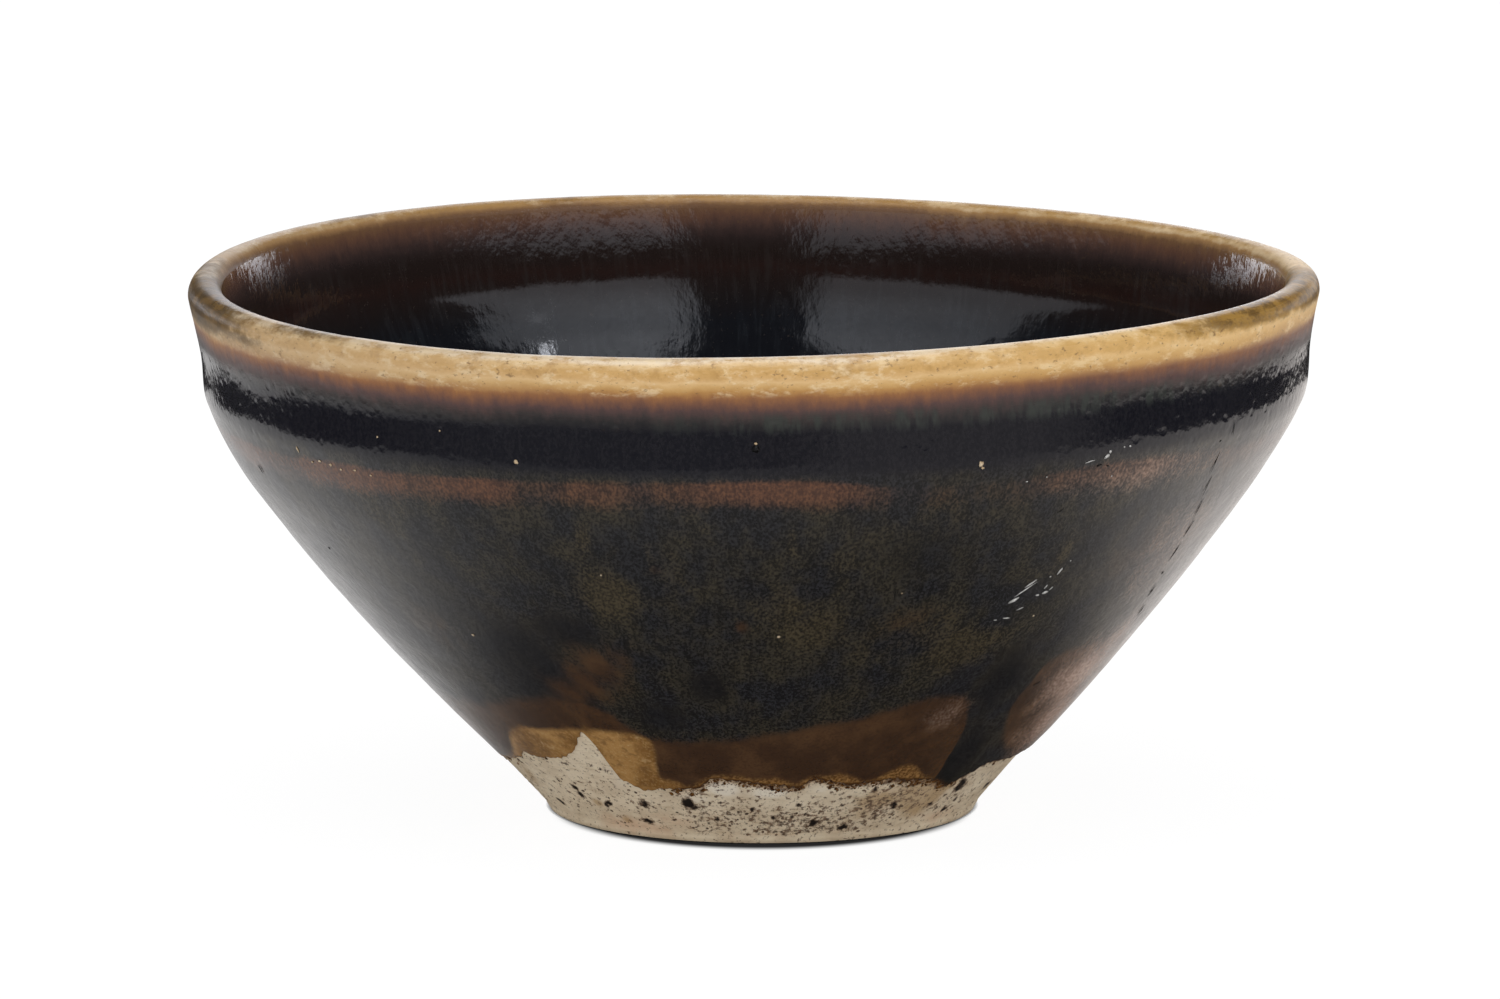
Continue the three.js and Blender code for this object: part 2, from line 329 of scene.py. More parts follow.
# Vectors round the bowl, from how far they point outward and how far up
def around(outward, upward):
    angle = np.radians(DEGREES)
    return np.stack(np.broadcast_arrays(outward * np.cos(angle), outward * np.sin(angle), upward), 1)


# One ring on the skin, or above it by a thickness, with what the finish needs to know about it
def skin_ring(length, thickness, loose, paint):
    length = np.broadcast_to(length, DEGREES.shape)
    radius, height, out, up = on_skin(length)
    points = settle(radius + out * thickness, DEGREES, height + up * thickness)
    return points, {
        "wall": around(WALL_RADIUS, length) * MM,
        "out": around(out, up),
        "loose": np.broadcast_to(loose, DEGREES.shape),
        "rise": height,
        **paint(DEGREES, height, length),
    }


# A coat of glaze between two lines on the skin. It closes to a point where it ends in the well
def coat(name, lengths, thicknesses, paint, in_well=False):
    rows = [skin_ring(length, thickness, 1, paint) for length, thickness in zip(lengths, thicknesses)]
    backing = np.linspace(len(lengths) - 1, 0, BACKING_ROWS).astype(int)
    back = [skin_ring(lengths[i], 0, 0, paint) for i in backing]
    if in_well:
        first, last = (tuple(one_point(row)) for row in (back[0], rows[-1]))
        order = [first, *back[1:], *rows[:-1], last]
    else:
        order = [*rows, *back]
    return ring_mesh(name, order)


def one_point(row):
    points, facts = row
    return points[:1], {mark: values[:1] for mark, values in facts.items()}


def rows_between(start, end, count):
    return [start + (end - start) * i / count for i in range(count + 1)]


# How much of one colour lies at each place, from soft spots read off the bowl
def spots(degrees, height, places):
    total = np.zeros(np.broadcast(degrees, height).shape)
    for at, rise, wide, tall, strength in places:
        level = np.exp(-(((height - rise) / tall) ** 2))
        total = np.maximum(total, strength * nearness(degrees, at, wide) * level)
    return total


def zones(degrees, height, **tables):
    return {mark: spots(degrees, height, places) for mark, places in tables.items()}


# Colour zones outside, read off the bowl: (degrees, height where the zone stops)
BROWN_TOP = [
    (-180, 14), (-165, 14.2), (-150, 14.6), (-140, 15.2), (-135, 16), (-130, 16.7), (-124, 17.4),
    (-118, 17.2), (-114.5, 16), (-112.5, 14.6), (-110, 13.3), (-105, 12.9), (-98, 13), (-90, 13.7),
    (-85, 14.2), (-80, 14.9), (-75, 15.4), (-70, 16.2), (-66, 16.9), (-62, 17.7), (-58, 17.8), (-55, 17.1),
    (-53.5, 15.9), (-52, 14), (-51, 12), (-50, 6), (-44, 6), (-43, 17.5), (-41, 20.6), (-35, 21.4),
    (-25, 22), (-12, 20), (2, 16), (20, 15), (38, 19), (52, 17.5), (70, 14.5), (88, 16.5), (104, 20),
    (118, 15.5), (140, 14), (160, 15), (180, 14),
]
BROWN_FOOT = [
    (-180, 0), (-50, 0), (-44, 15), (-41, 13), (-37, 10.6), (-31, 9), (-25, 8.6), (-12, 8), (5, 0),
    (180, 0),
]
AMBER_TOP = [
    (-180, 7.4), (-165, 7), (-156, 7.4), (-150, 8.3), (-146, 9.9), (-143, 11.2), (-140, 12.1), (-137, 12.7),
    (-132, 12.9), (-127, 13.2), (-119, 13.7), (-114, 13.7), (-111, 13.4), (-109, 13), (-107.6, 12),
    (-107, 8.4), (-106, 7.3), (-103, 7.5), (-100, 8.5), (-96, 8.7), (-90, 8.2), (-87.5, 8.4), (-85, 8.1),
    (-82.5, 7.6), (-80, 8.4), (-76, 8.5), (-73.4, 8.7), (-71, 8.2), (-68.5, 7.6), (-65.5, 7.8),
    (-63.5, 8.5), (-60.5, 9.2), (-57.5, 8.9), (-55, 7.8), (-52.5, 7.2), (-48, 6.2), (-44, 5), (-41, 6),
    (-38, 7.3), (-34, 7.8), (-28, 7.4), (-22, 7), (-12, 7.8), (5, 8.4), (25, 8.6), (36, 11.4), (48, 12.6),
    (57, 11), (66, 8), (80, 7.3), (95, 8.8), (112, 7.9), (126, 9.6), (136, 12), (146, 10.4), (156, 7.5),
    (168, 7.3), (180, 7.4),
]

# The rusty line where the glaze broke over the shoulder: (degrees, its top), (degrees, its strength)
RUST_TOP = [
    (-180, 43.8), (-150, 43.5), (-140, 43.9), (-128, 44), (-116, 44.4), (-100, 44.8), (-88, 45),
    (-81, 44.7), (-74, 44), (-64, 43.9), (-50, 44.6), (-40, 44.2), (-25, 43.6), (0, 44.2), (40, 44.8),
    (80, 43.7), (120, 44.6), (160, 44), (180, 43.8),
]
RUST_SHARE = [
    (-180, 0.5), (-165, 0.55), (-156, 0.8), (-148, 0.45), (-142, 0.8), (-139, 1), (-134, 0.8), (-131, 0.75),
    (-127, 0.5), (-121, 0.75), (-118, 0.8), (-114, 0.35), (-108, 0.5), (-101, 0.42), (-95, 0.62),
    (-89, 0.95), (-82.5, 0.85), (-77, 0.4), (-70, 0.18), (-63, 0.16), (-57, 0.36), (-50, 0.5), (-43, 0.42),
    (-36, 0.25), (-28, 0.35), (-15, 0.4), (8, 0.2), (30, 0.7), (45, 0.9), (62, 0.3), (85, 0.5), (105, 0.85),
    (122, 0.4), (140, 0.2), (160, 0.6), (180, 0.5),
]

# Soft patches: (degrees, height, half width in degrees, half height, strength)
BROWN_PATCHES = [
    (-119.5, 18.4, 4, 2.2, 0.9), (-116, 20, 3.6, 2.4, 0.85), (-112.4, 21.8, 3.6, 2.4, 0.75),
    (-109, 23.4, 3, 2.2, 0.45), (-138, 24.5, 6, 3, 0.3), (-36, 33.5, 7, 4.5, 0.4),
    (-91.5, 27.8, 0.9, 0.8, 0.7), (-101, 34.6, 0.9, 0.7, 0.5), (-70, 27, 5, 3, 0.2), (30, 30, 8, 5, 0.5),
    (75, 24, 7, 4, 0.5), (130, 33, 9, 4, 0.4), (165, 26, 7, 5, 0.4),
]
OLIVE_PATCHES = [
    (-108, 31.5, 5, 3, 0.9), (-100, 33.5, 4, 4, 0.4), (-86, 30.2, 6, 3, 0.6), (-83, 27.4, 5, 2.5, 0.7),
    (-66, 26, 5, 2.2, 0.7), (-58, 25, 6, 2, 0.7), (-72, 24.4, 6, 2, 0.35), (-108.6, 38, 1.2, 2.2, 0.8),
    (-101.4, 36, 0.8, 3, 0.6), (-51.4, 34.4, 1.2, 2.5, 0.7), (-94, 40, 8, 3, 0.3), (-70, 39.5, 7, 3, 0.35),
    (-85.5, 38, 1, 2.5, 0.6), (-80, 35, 5, 4, 0.3), (-61, 24, 5.5, 2.6, 1.3), (20, 35, 8, 4, 0.6),
    (50, 28, 9, 4, 0.6), (95, 34, 7, 4, 0.7), (118, 25, 8, 4, 0.5), (150, 36, 8, 5, 0.6),
    (-170, 30, 8, 5, 0.4),
]
DEEP_PATCHES = [
    (-125, 22.5, 8, 5, 1), (-115, 26.5, 5, 2.6, 0.9), (-97, 20.4, 3.5, 2.5, 0.8), (-105, 16.4, 6, 2.5, 0.6),
    (-50, 19, 5, 4.5, 0.8), (-47, 9.5, 4.2, 3.6, 1), (-132, 28, 9, 4, 0.5), (-70, 36.5, 5, 4, 0.5),
    (10, 24, 9, 5, 0.8), (62, 35, 9, 6, 0.7), (100, 27, 8, 5, 0.8), (140, 24, 9, 5, 0.8),
]

# Pale pinkish patches of thin glaze; the strongest, low on the front right, are also a painted reflection,
# brighter than the glaze alone
BLUSH_AND_SHEEN_PATCHES = [
    (-24.5, 12.6, 7, 4.6, 1.05), (-28.5, 17.5, 7, 3.6, 1.15), (-34.5, 17.6, 4.5, 2.6, 0.8),
    (-25, 21.8, 6, 2.8, 0.4), (-30, 33, 6, 5, 0.35), (-45, 42.5, 9, 1.6, 0.25),
    (-57.4, 15.6, 3.4, 1.5, 0.45), (-170, 12, 12, 4, 0.22), (15, 13, 10, 4, 0.3), (62, 16, 13, 5, 0.18),
    (110, 12, 14, 4, 0.25),
]

# The bare foot: dark iron spots, and where the clay is dirty, stained, pale or pinkish
IRON_SPOTS = [
    (-136.6, 5.15, 1, 0.32, 1), (-136.4, 4.3, 1.1, 0.36, 1), (-133.2, 8.35, 1.2, 0.2, 0.9),
    (-128.4, 3.75, 1.1, 0.3, 1), (-129.8, 3.45, 0.9, 0.3, 0.95), (-118, 4.25, 1.2, 0.5, 1),
    (-119.6, 1.95, 1.4, 0.4, 1), (-106.6, 4.75, 1.7, 0.75, 1.15), (-105.4, 4.3, 1, 0.4, 1),
    (-125.6, 8.7, 0.5, 0.16, 0.9), (-124.2, 8.35, 0.45, 0.16, 0.9), (-122.6, 8.2, 0.7, 0.13, 0.9),
    (-100.6, 2.95, 0.7, 0.35, 0.9), (-99.2, 5, 0.6, 0.25, 1), (-81.5, 4.65, 0.65, 0.28, 1),
    (-77, 2.25, 1.5, 0.55, 1), (-69, 1.65, 1.7, 0.42, 1.05), (-87, 3.1, 1, 0.32, 0.85),
    (-82.7, 3.2, 0.8, 0.22, 0.8), (-79.4, 3.45, 0.7, 0.25, 0.8), (-64.5, 6.3, 0.7, 0.3, 0.9),
    (-57, 3.75, 1.1, 0.5, 0.9), (-44.8, 3.25, 0.9, 0.3, 0.95), (-38, 5, 2, 0.85, 1.15),
    (-37, 2.1, 1.6, 0.4, 0.9), (-35.2, 3.1, 0.9, 0.3, 0.8), (-92, 4.2, 0.6, 0.25, 0.8),
    (-71, 4.4, 0.6, 0.22, 0.8), (-61, 2.6, 0.7, 0.25, 0.8), (-20, 3.6, 1.4, 0.5, 1), (-5, 5.4, 1, 0.4, 1),
    (14, 2.6, 1.6, 0.5, 1), (33, 4.8, 1.1, 0.5, 1), (52, 3, 1.5, 0.6, 1), (71, 5.2, 0.9, 0.35, 1),
    (88, 2, 1.3, 0.4, 1), (107, 4.4, 1.8, 0.6, 1), (126, 2.7, 1, 0.4, 1), (149, 4.9, 1.2, 0.5, 1),
    (170, 3.3, 1.5, 0.5, 1), (-168, 4.6, 1.1, 0.4, 1), (-150, 2.4, 1.2, 0.4, 0.9),
]
DIRT = [
    (-80, 2.4, 22, 2.6, 1), (-60, 4.2, 14, 2.8, 1), (-100, 3.2, 12, 3, 0.8), (-128, 4.2, 26, 3, 0.3),
    (-88, 6.2, 14, 1.4, 0.35), (-40, 4, 12, 3, 0.45), (20, 3, 30, 3, 0.8), (80, 4, 22, 3, 0.5),
    (140, 3, 30, 3, 0.7), (-170, 3, 16, 3, 0.4),
]
STAINS = [
    (-51, 4.6, 8, 2.4, 1.3), (-61, 4.6, 8, 2.2, 0.8), (-44, 5.6, 5, 1.2, 0.9), (-132.4, 3.6, 1.8, 0.5, 0.9),
    (-126.4, 1.8, 2, 0.5, 0.7), (-62, 3, 7, 1.5, 0.5), (-155, 5, 9, 2.5, 0.35), (40, 4, 9, 2, 0.8),
    (120, 3, 8, 2, 0.8),
]
PALE_SLIP = [
    (-98, 6.9, 3.6, 1.1, 1), (-88, 6.5, 4.2, 1.1, 0.9), (-76, 6.6, 5, 0.9, 0.5), (-118, 7.5, 7, 3, 0.45),
    (-104, 5.6, 5, 1, 0.5), (10, 6, 8, 1, 0.8), (60, 6, 8, 1, 0.8), (130, 6.5, 9, 1, 0.7),
]
PINK_CLAY = [
    (-125, 1.2, 16, 1.1, 0.8), (-112, 2.4, 8, 1, 0.5), (-40, 1.2, 12, 1.2, 0.6), (-88, 1, 20, 0.7, 0.4),
    (0, 1.2, 20, 1.2, 0.6), (90, 1.2, 20, 1.2, 0.6), (160, 1.2, 20, 1.2, 0.6),
]

# Where the lip is olive and brown instead of cream
LIP_OLIVE = [
    (-166, 56.6, 14, 2.1, 1.2), (-152, 55.6, 7, 1, 0.6), (-140, 57.5, 9, 0.7, 0.55),
    (-118, 57.5, 6, 0.5, 0.3), (-26, 57, 17, 1.1, 0.9), (-10, 56.9, 12, 1.3, 1), (178, 57.6, 8, 0.8, 0.5),
    (140, 57.8, 8, 0.5, 0.5), (112, 57.6, 5, 0.4, 0.4), (64, 57.7, 6, 0.4, 0.3), (24, 57.6, 8, 0.5, 0.4),
]

# The amber's top is softened over these degrees; its left lobe ends at a line that leans, in degrees and in
# degrees for each millimetre of height
SOFTENING = np.linspace(-1.1, 1.1, 7)
LOBE_RIGHT, LOBE_LEAN = -110.8, 0.4


def outside_paint(degrees, height, length):
    brown = smoothstep(smooth_line(BROWN_TOP)(degrees) - height, -1.3, 1.1)
    brown = brown * smoothstep(height - smooth_line(BROWN_FOOT)(degrees), -1, 1)
    rust_top = smooth_line(RUST_TOP)(degrees) - height
    rust = smoothstep(rust_top, -0.35, 0.55) * (1 - smoothstep(rust_top, 1.2, 4.2))
    amber_top = smooth_line(AMBER_TOP)
    amber = np.mean([smoothstep(amber_top(degrees + shift) - height, -0.8, 0.7) for shift in SOFTENING], 0)
    beside = degrees - LOBE_RIGHT - LOBE_LEAN * (height - 8)
    amber = amber * (1 - smoothstep(beside, -1.3, 1.3) * (degrees < -104) * smoothstep(height, 7.4, 8.4))
    return {
        **zones(degrees, height, olive=OLIVE_PATCHES, deep=DEEP_PATCHES, blush=BLUSH_AND_SHEEN_PATCHES),
        **zones(degrees, height, lip_olive=LIP_OLIVE),
        "brown": np.maximum(brown, spots(degrees, height, BROWN_PATCHES)),
        "amber": amber,
        "rust": rust * smooth_line(RUST_SHARE)(degrees),
        "green": smoothstep(degrees, -104, -88) * (1 - smoothstep(degrees, -46, -30)) * 0.9 + 0.1,
        "burnt": smoothstep(degrees, -110, -104) * (1 - smoothstep(degrees, -12, 4)),
        "edge": (1 - smoothstep(length - flank_mark(smooth_line(GLAZE_EDGE)(degrees)), 0.1, 0.8))
        * (0.25 + 0.75 * smoothstep(degrees, -112, -106)),
        "rise": np.where(length > CREST_MARK, 2 * HEIGHT - height, height),
    }


def inside_paint(degrees, height, length):
    return {"rise": 2 * HEIGHT - height, **zones(degrees, height, lip_olive=LIP_OLIVE)}


# How near a point on the bare clay is to glaze that broke into crumbs
HALO_REACH = 1.6
CRUMBLED = [
    (-180, 0.3), (-150, 0.15), (-112, 0.15), (-106, 0.6), (-98, 0.75), (-84, 1), (-62, 1), (-46, 1),
    (-36, 1.3), (-24, 1.35), (-8, 1.2), (20, 0.5), (60, 0.9), (100, 0.5), (150, 0.8), (180, 0.3),
]


def halo_by_the_glaze(degrees, length):
    below = flank_mark(smooth_line(GLAZE_EDGE)(degrees)) - length
    return (1 - smoothstep(below, 0, HALO_REACH)) * (below > -0.6) * smooth_line(CRUMBLED)(degrees)


def clay_paint(degrees, height, length):
    return {
        **zones(degrees, height, iron=IRON_SPOTS, stain=STAINS, slip=PALE_SLIP, pink=PINK_CLAY),
        "dirt": spots(degrees, height, DIRT) * smoothstep(height, 0.5, 1.1),
        "halo": halo_by_the_glaze(degrees, length),
    }


# The pieces, in the order in which the bowl was made

def clay_bowl():
    edge = glaze_edge_marks()
    recess = FOOT_RADIUS - FOOT_RING_WIDTH
    under = [
        *[(radius, RECESS_DEPTH) for radius in np.linspace(0.6, recess - RECESS_DRAFT - 0.2, 18)],
        *[(recess - RECESS_DRAFT * share, RECESS_DEPTH * share) for share in (0.96, 0.7, 0.3, 0.04)],
        *[(radius, 0.0) for radius in np.linspace(recess + 0.2, FOOT_RADIUS - 0.15, 9)],
        *[(FOOT_RADIUS + FOOT_BEVEL * share, FOOT_BEVEL_HEIGHT * share) for share in (0.05, 0.5, 0.9)],
    ]
    order = [one_point(under_ring(0, RECESS_DEPTH, -1))]
    for radius, height in under:
        order.append(under_ring(radius, height, -1 if height in (0, RECESS_DEPTH) else 0))
    covered = edge + CLAY_UNDER_EDGE
    bare = rows_between(0 * edge, edge, 50) + [covered]
    order += [skin_ring(length, 0, 1 - smoothstep(length - edge, -0.1, 0.3), clay_paint) for length in bare]
    hidden = [covered + (RIM_MARK - covered) * share for share in np.linspace(0.05, 1, 14)]
    hidden += [*np.linspace(RIM_MARK, INSIDE_MARK, 9)[1:], *np.linspace(INSIDE_MARK, WELL_MARK, 16)[1:]]
    order += [skin_ring(length, 0, 0, clay_paint) for length in hidden[:-1]]
    order.append(one_point(skin_ring(WELL_MARK, 0, 0, clay_paint)))
    return ring_mesh("bowl_clay", order)


# A ring on the underside, where the turning tool cut the foot
def under_ring(radius, height, down):
    flat = 0 * DEGREES
    return settle(radius + flat, DEGREES, flat + height), {
        "wall": around(radius, radius - UNDERSIDE_SHIFT) * MM,
        "out": around(0, down),
        "loose": flat + (0.6 if height == RECESS_DEPTH else 0),
        "rise": flat + height,
        **clay_paint(DEGREES, flat + height, flat - FAR_BELOW_GLAZE),
    }


def roll_at():
    return ROLL_GLAZE * nearness(DEGREES, ROLL_AT, ROLL_HALF_WIDTH)


def amber_band():
    edge = glaze_edge_marks()
    return edge, np.maximum(dark_line_marks(), edge + LEAST_BAND)


def amber_coat():
    edge, line = amber_band()
    rounding = [edge + step for step in (0, 0.02, 0.05, 0.1, 0.17, 0.26)]
    lengths = np.array(rounding + rows_between(edge + EDGE_ROUNDING, line, 26))
    share = np.clip((lengths - edge) / (line - edge), 0, 1)
    rounded = np.sqrt(1 - (1 - np.clip((lengths - edge) / EDGE_ROUNDING, 0, 1)) ** 2)
    thicknesses = (EDGE_GLAZE + (LOWER_GLAZE - EDGE_GLAZE) * share + roll_at()) * rounded + 0.004
    return coat("amber_coat", lengths, thicknesses, outside_paint)


def dark_coat():
    line = amber_band()[1]
    lengths = rows_between(line, SHOULDER_MARK + 0 * line, 84) + rows_between(SHOULDER_MARK, RIM_MARK, 24)[1:]
    lengths = np.array([length + 0 * line for length in lengths])
    flank_share = np.clip((lengths - line) / (SHOULDER_MARK - line), 0, 1)
    collar_share = np.clip((lengths - SHOULDER_MARK) / (RIM_MARK - SHOULDER_MARK), 0, 1)
    share = 0.6 * flank_share + 0.4 * collar_share
    full = OUTER_GLAZE + (RIM_GLAZE - OUTER_GLAZE) * share**4
    started = smoothstep(share, 0, 0.18)
    thicknesses = (LOWER_GLAZE + roll_at()) * (1 - started) + full * started
    return coat("dark_coat", lengths, thicknesses, outside_paint)


def rim_coat():
    lengths = rows_between(RIM_MARK, LIP_MARK, 8) + rows_between(LIP_MARK, INSIDE_MARK, 34)[1:]
    return coat("rim_coat", lengths, [RIM_GLAZE] * len(lengths), outside_paint)


def inner_coat():
    lengths = np.array(rows_between(INSIDE_MARK, WELL_MARK, 108))
    share = (lengths - INSIDE_MARK) / (WELL_MARK - INSIDE_MARK)
    wall = RIM_GLAZE + (INNER_GLAZE - RIM_GLAZE) * np.sqrt(share)
    thicknesses = wall + (POOL_GLAZE - wall) * smoothstep(share, 0.5, 1)
    return coat("inner_coat", lengths, thicknesses, inside_paint, in_well=True)


# A workbench for one tree of nodes: each call adds a node and gives back what comes out of it
class Bench:
    def __init__(self, tree):
        self.tree = tree
        self.tree.nodes.clear()
        self.geometry = tree.bl_idname == "GeometryNodeTree"

    def node(self, kind, inputs=(), **settings):
        made = self.tree.nodes.new(kind)
        for name, value in settings.items():
            setattr(made, name, value)
        for place, value in dict(inputs).items():
            self.feed(made.inputs[place], value)
        return made

    def feed(self, socket, value):
        if isinstance(value, bpy.types.NodeSocket):
            self.tree.links.new(value, socket)
        elif isinstance(value, tuple) and len(value) == 3 and socket.type == "RGBA":
            socket.default_value = (*value, 1)
        else:
            socket.default_value = value

    def sum(self, operation, *values):
        return self.node("ShaderNodeMath", enumerate(values), operation=operation).outputs[0]

    def less(self, value, taken):
        return self.sum("SUBTRACT", value, taken)

    def times(self, value, *shares):
        for share in shares:
            value = self.sum("MULTIPLY", value, share)
        return value

    def most(self, value, *others):
        for other in others:
            value = self.sum("MAXIMUM", value, other)
        return value

    # A value that strays to both sides with a noise
    def stray(self, noise, reach, value):
        return self.sum("MULTIPLY_ADD", self.less(noise, 0.5), reach, value)

    def vector(self, operation, *values):
        return self.node("ShaderNodeVectorMath", enumerate(values), operation=operation).outputs[0]

    def scale(self, vector, share):
        return self.node("ShaderNodeVectorMath", {0: vector, 3: share}, operation="SCALE").outputs[0]

    def length(self, place):
        return self.node("ShaderNodeVectorMath", {0: place}, operation="LENGTH").outputs["Value"]

    def place(self):
        return self.node("ShaderNodeTexCoord").outputs["Object"]

    def split(self, place):
        return self.node("ShaderNodeSeparateXYZ", {0: place}).outputs

    def mix(self, share, first, second):
        return self.node("ShaderNodeMix", {0: share, 6: first, 7: second}, data_type="RGBA").outputs[2]

    # One colour, then another, as a value passes from low to high
    def blend(self, value, low, high, first, second):
        return self.mix(self.step(value, low, high), first, second)

    # A tone laid over a colour, up to a share, as a value passes from low to high
    def lay(self, base, value, low, high, share, tone):
        return self.mix(self.step(value, low, high, 0, share), base, tone)

    # One colour laid over another, by as much as all the shares allow
    def over(self, base, colour, *shares):
        return self.mix(self.times(*shares), base, colour)

    def fade(self, share, first, second):
        return self.node("ShaderNodeMix", {0: share, 2: first, 3: second}, data_type="FLOAT").outputs[0]

    def step(self, value, low, high, start=0, end=1):
        inputs = {0: value, 1: low, 2: high, 3: start, 4: end}
        return self.node("ShaderNodeMapRange", inputs, interpolation_type="SMOOTHSTEP").outputs[0]

    def between(self, value, start, full, fading, gone):
        return self.times(self.step(value, start, full), self.step(value, gone, fading))

    # Noise, drawn out upwards where its share of height is below one
    def noise(self, place, scale, detail, roughness, upright=None):
        if upright:
            place = self.vector("MULTIPLY", place, (1, 1, upright))
        inputs = {"Vector": place, "Scale": scale, "Detail": detail, "Roughness": roughness}
        return self.node("ShaderNodeTexNoise", inputs).outputs[0]

    def mark(self, name, vector=False):
        if self.geometry:
            kind = "FLOAT_VECTOR" if vector else "FLOAT"
            return self.node("GeometryNodeInputNamedAttribute", {"Name": name}, data_type=kind).outputs[0]
        attribute = self.node("ShaderNodeAttribute", attribute_name=name)
        return attribute.outputs["Vector" if vector else "Fac"]

    def ramp(self, value, stops):
        ramp = self.node("ShaderNodeValToRGB", {0: value})
        ends = ramp.color_ramp.elements
        for i, (place, colour) in enumerate(stops):
            stop = ends[i] if i < 2 else ends.new(place)
            stop.position, stop.color = place, (*colour, 1)
        return ramp.outputs[0]


# Noise at this level leaves the surface where it is; nearly all is lower and sinks it a little
LEAN_INWARD = 0.8


# A tree that works on a piece's geometry, with inputs named for each kind of socket
def new_tree(name, **kinds):
    tree = bpy.data.node_groups.new(name, "GeometryNodeTree")
    bench = Bench(tree)
    inputs = [(socket, kind) for kind, sockets in kinds.items() for socket in sockets.split(", ")]
    for socket, kind in [("Geometry", "Geometry"), *inputs]:
        tree.interface.new_socket(socket, in_out="INPUT", socket_type="NodeSocket" + kind)
    tree.interface.new_socket("Geometry", in_out="OUTPUT", socket_type="NodeSocketGeometry")
    return bench, bench.node("NodeGroupInput").outputs


def finish_tree(bench, geometry, finish):
    whole = bench.node("GeometryNodeRealizeInstances", {0: geometry})
    finished = bench.node("GeometryNodeSetMaterial", {0: whole.outputs[0], "Material": finish})
    bench.node("NodeGroupOutput", {0: finished.outputs[0]})
    return bench.tree


# Thrown surface: a tree that lays uneven rings, soft swells and grain on the loose part of a piece
def thrown_surface():
    sizes = "Ring Spacing, Ring Depth, Swell Size, Swell Depth, Grain Size, Grain Depth, Seed"
    bench, given = new_tree("thrown surface", Float=sizes, Material="Finish")
    wall = bench.mark("wall", vector=True)
    seeded = bench.vector("ADD", wall, bench.node("ShaderNodeCombineXYZ", {0: given["Seed"]}).outputs[0])

    def waves(place, size, depth, detail, roughness):
        scale = bench.sum("DIVIDE", 1, size)
        height = bench.noise(place, scale, detail, roughness)
        return bench.times(bench.less(height, LEAN_INWARD), depth)

    along = bench.vector("MULTIPLY", seeded, (0.06, 0.06, 1))
    rings = waves(along, given["Ring Spacing"], given["Ring Depth"], 1, 0.4)
    swells = waves(seeded, given["Swell Size"], given["Swell Depth"], 2, 0.4)
    grain = waves(seeded, given["Grain Size"], given["Grain Depth"], 4, 0.6)
    lift = bench.times(bench.sum("ADD", bench.sum("ADD", rings, swells), grain), bench.mark("loose"))
    outward = bench.scale(bench.mark("out", vector=True), lift)
    moved = bench.node("GeometryNodeSetPosition", {"Geometry": given["Geometry"], "Offset": outward})
    return finish_tree(bench, moved.outputs[0], given["Finish"])


# Scattered grains: a tree that strews small flat lumps over a surface where one of its marks is strong
def scattered_grains():
    sizes = "Density, Smallest, Largest, Flatness, Stretch"
    bench, given = new_tree("scattered grains", Float=sizes, String="Where", Int="Seed", Material="Finish")
    density = bench.times(given["Density"], bench.mark(given["Where"]))
    thrown = bench.node("GeometryNodeDistributePointsOnFaces", {
        "Mesh": given["Geometry"], "Density": density, "Seed": given["Seed"]})
    grain = bench.node("GeometryNodeMeshIcoSphere", {"Radius": 1, "Subdivisions": 1}).outputs["Mesh"]

    def chance(low, high, salt):
        inputs = {"Min_001": low, "Max_001": high, "Seed": bench.sum("ADD", given["Seed"], salt)}
        random = bench.node("FunctionNodeRandomValue", data_type="FLOAT")
        for place in random.inputs:
            if place.identifier in inputs:
                bench.feed(place, inputs[place.identifier])
        return random.outputs[1]

    small = chance(0, 1, 1)
    size = bench.fade(bench.sum("POWER", small, 3), given["Smallest"], given["Largest"])
    wide = bench.times(size, chance(1, given["Stretch"], 2))
    thin = bench.times(size, given["Flatness"])
    scale = bench.node("ShaderNodeCombineXYZ", {0: wide, 1: size, 2: thin}).outputs[0]
    turn = bench.node("ShaderNodeCombineXYZ", {2: chance(0, 6.283, 3)}).outputs[0]
    upright = thrown.outputs["Rotation"]
    spun = bench.node("FunctionNodeRotateRotation", {0: upright, 1: turn}, rotation_space="LOCAL")
    strewn = bench.node("GeometryNodeInstanceOnPoints", {
        "Points": thrown.outputs["Points"], "Instance": grain, "Rotation": spun.outputs[0], "Scale": scale})
    return finish_tree(bench, strewn.outputs[0], given["Finish"])


# Runs a tree on a piece and keeps the result as its plain mesh
def work(piece, tree, **inputs):
    modifier = piece.modifiers.new("work", "NODES")
    modifier.node_group = tree
    for socket in tree.interface.items_tree:
        name = socket.name.replace(" ", "_").lower()
        if socket.in_out == "INPUT" and name in inputs:
            modifier[socket.identifier] = inputs[name]
    graph = bpy.context.evaluated_depsgraph_get()
    mesh = bpy.data.meshes.new_from_object(piece.evaluated_get(graph))
    piece.modifiers.clear()
    piece.data = mesh
    return piece


def strewn(name, surface, tree, **inputs):
    grains = in_scene(surface.copy())
    grains.name = name
    return work(grains, tree, **inputs)


def place_on_bowl(piece, finish_slot, *nodes):
    if nodes:
        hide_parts(*nodes)
    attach(piece, "root")


def new_finish(name):
    material = bpy.data.materials.new(name)
    material.use_nodes = True
    return material, Bench(material.node_tree)


# Ends a finish: a shader with its colour, its roughness and a fine relief whose depth is in metres
def surfaced(bench, colour, roughness, relief, depth, shine=0.5):
    bump = bench.node("ShaderNodeBump", {"Strength": 1, "Distance": depth, "Height": relief})
    shader = bench.node("ShaderNodeBsdfPrincipled", {
        "Base Color": colour, "Roughness": roughness, "Normal": bump.outputs[0], "Specular IOR Level": shine})
    bench.node("ShaderNodeOutputMaterial", {0: shader.outputs[0]})
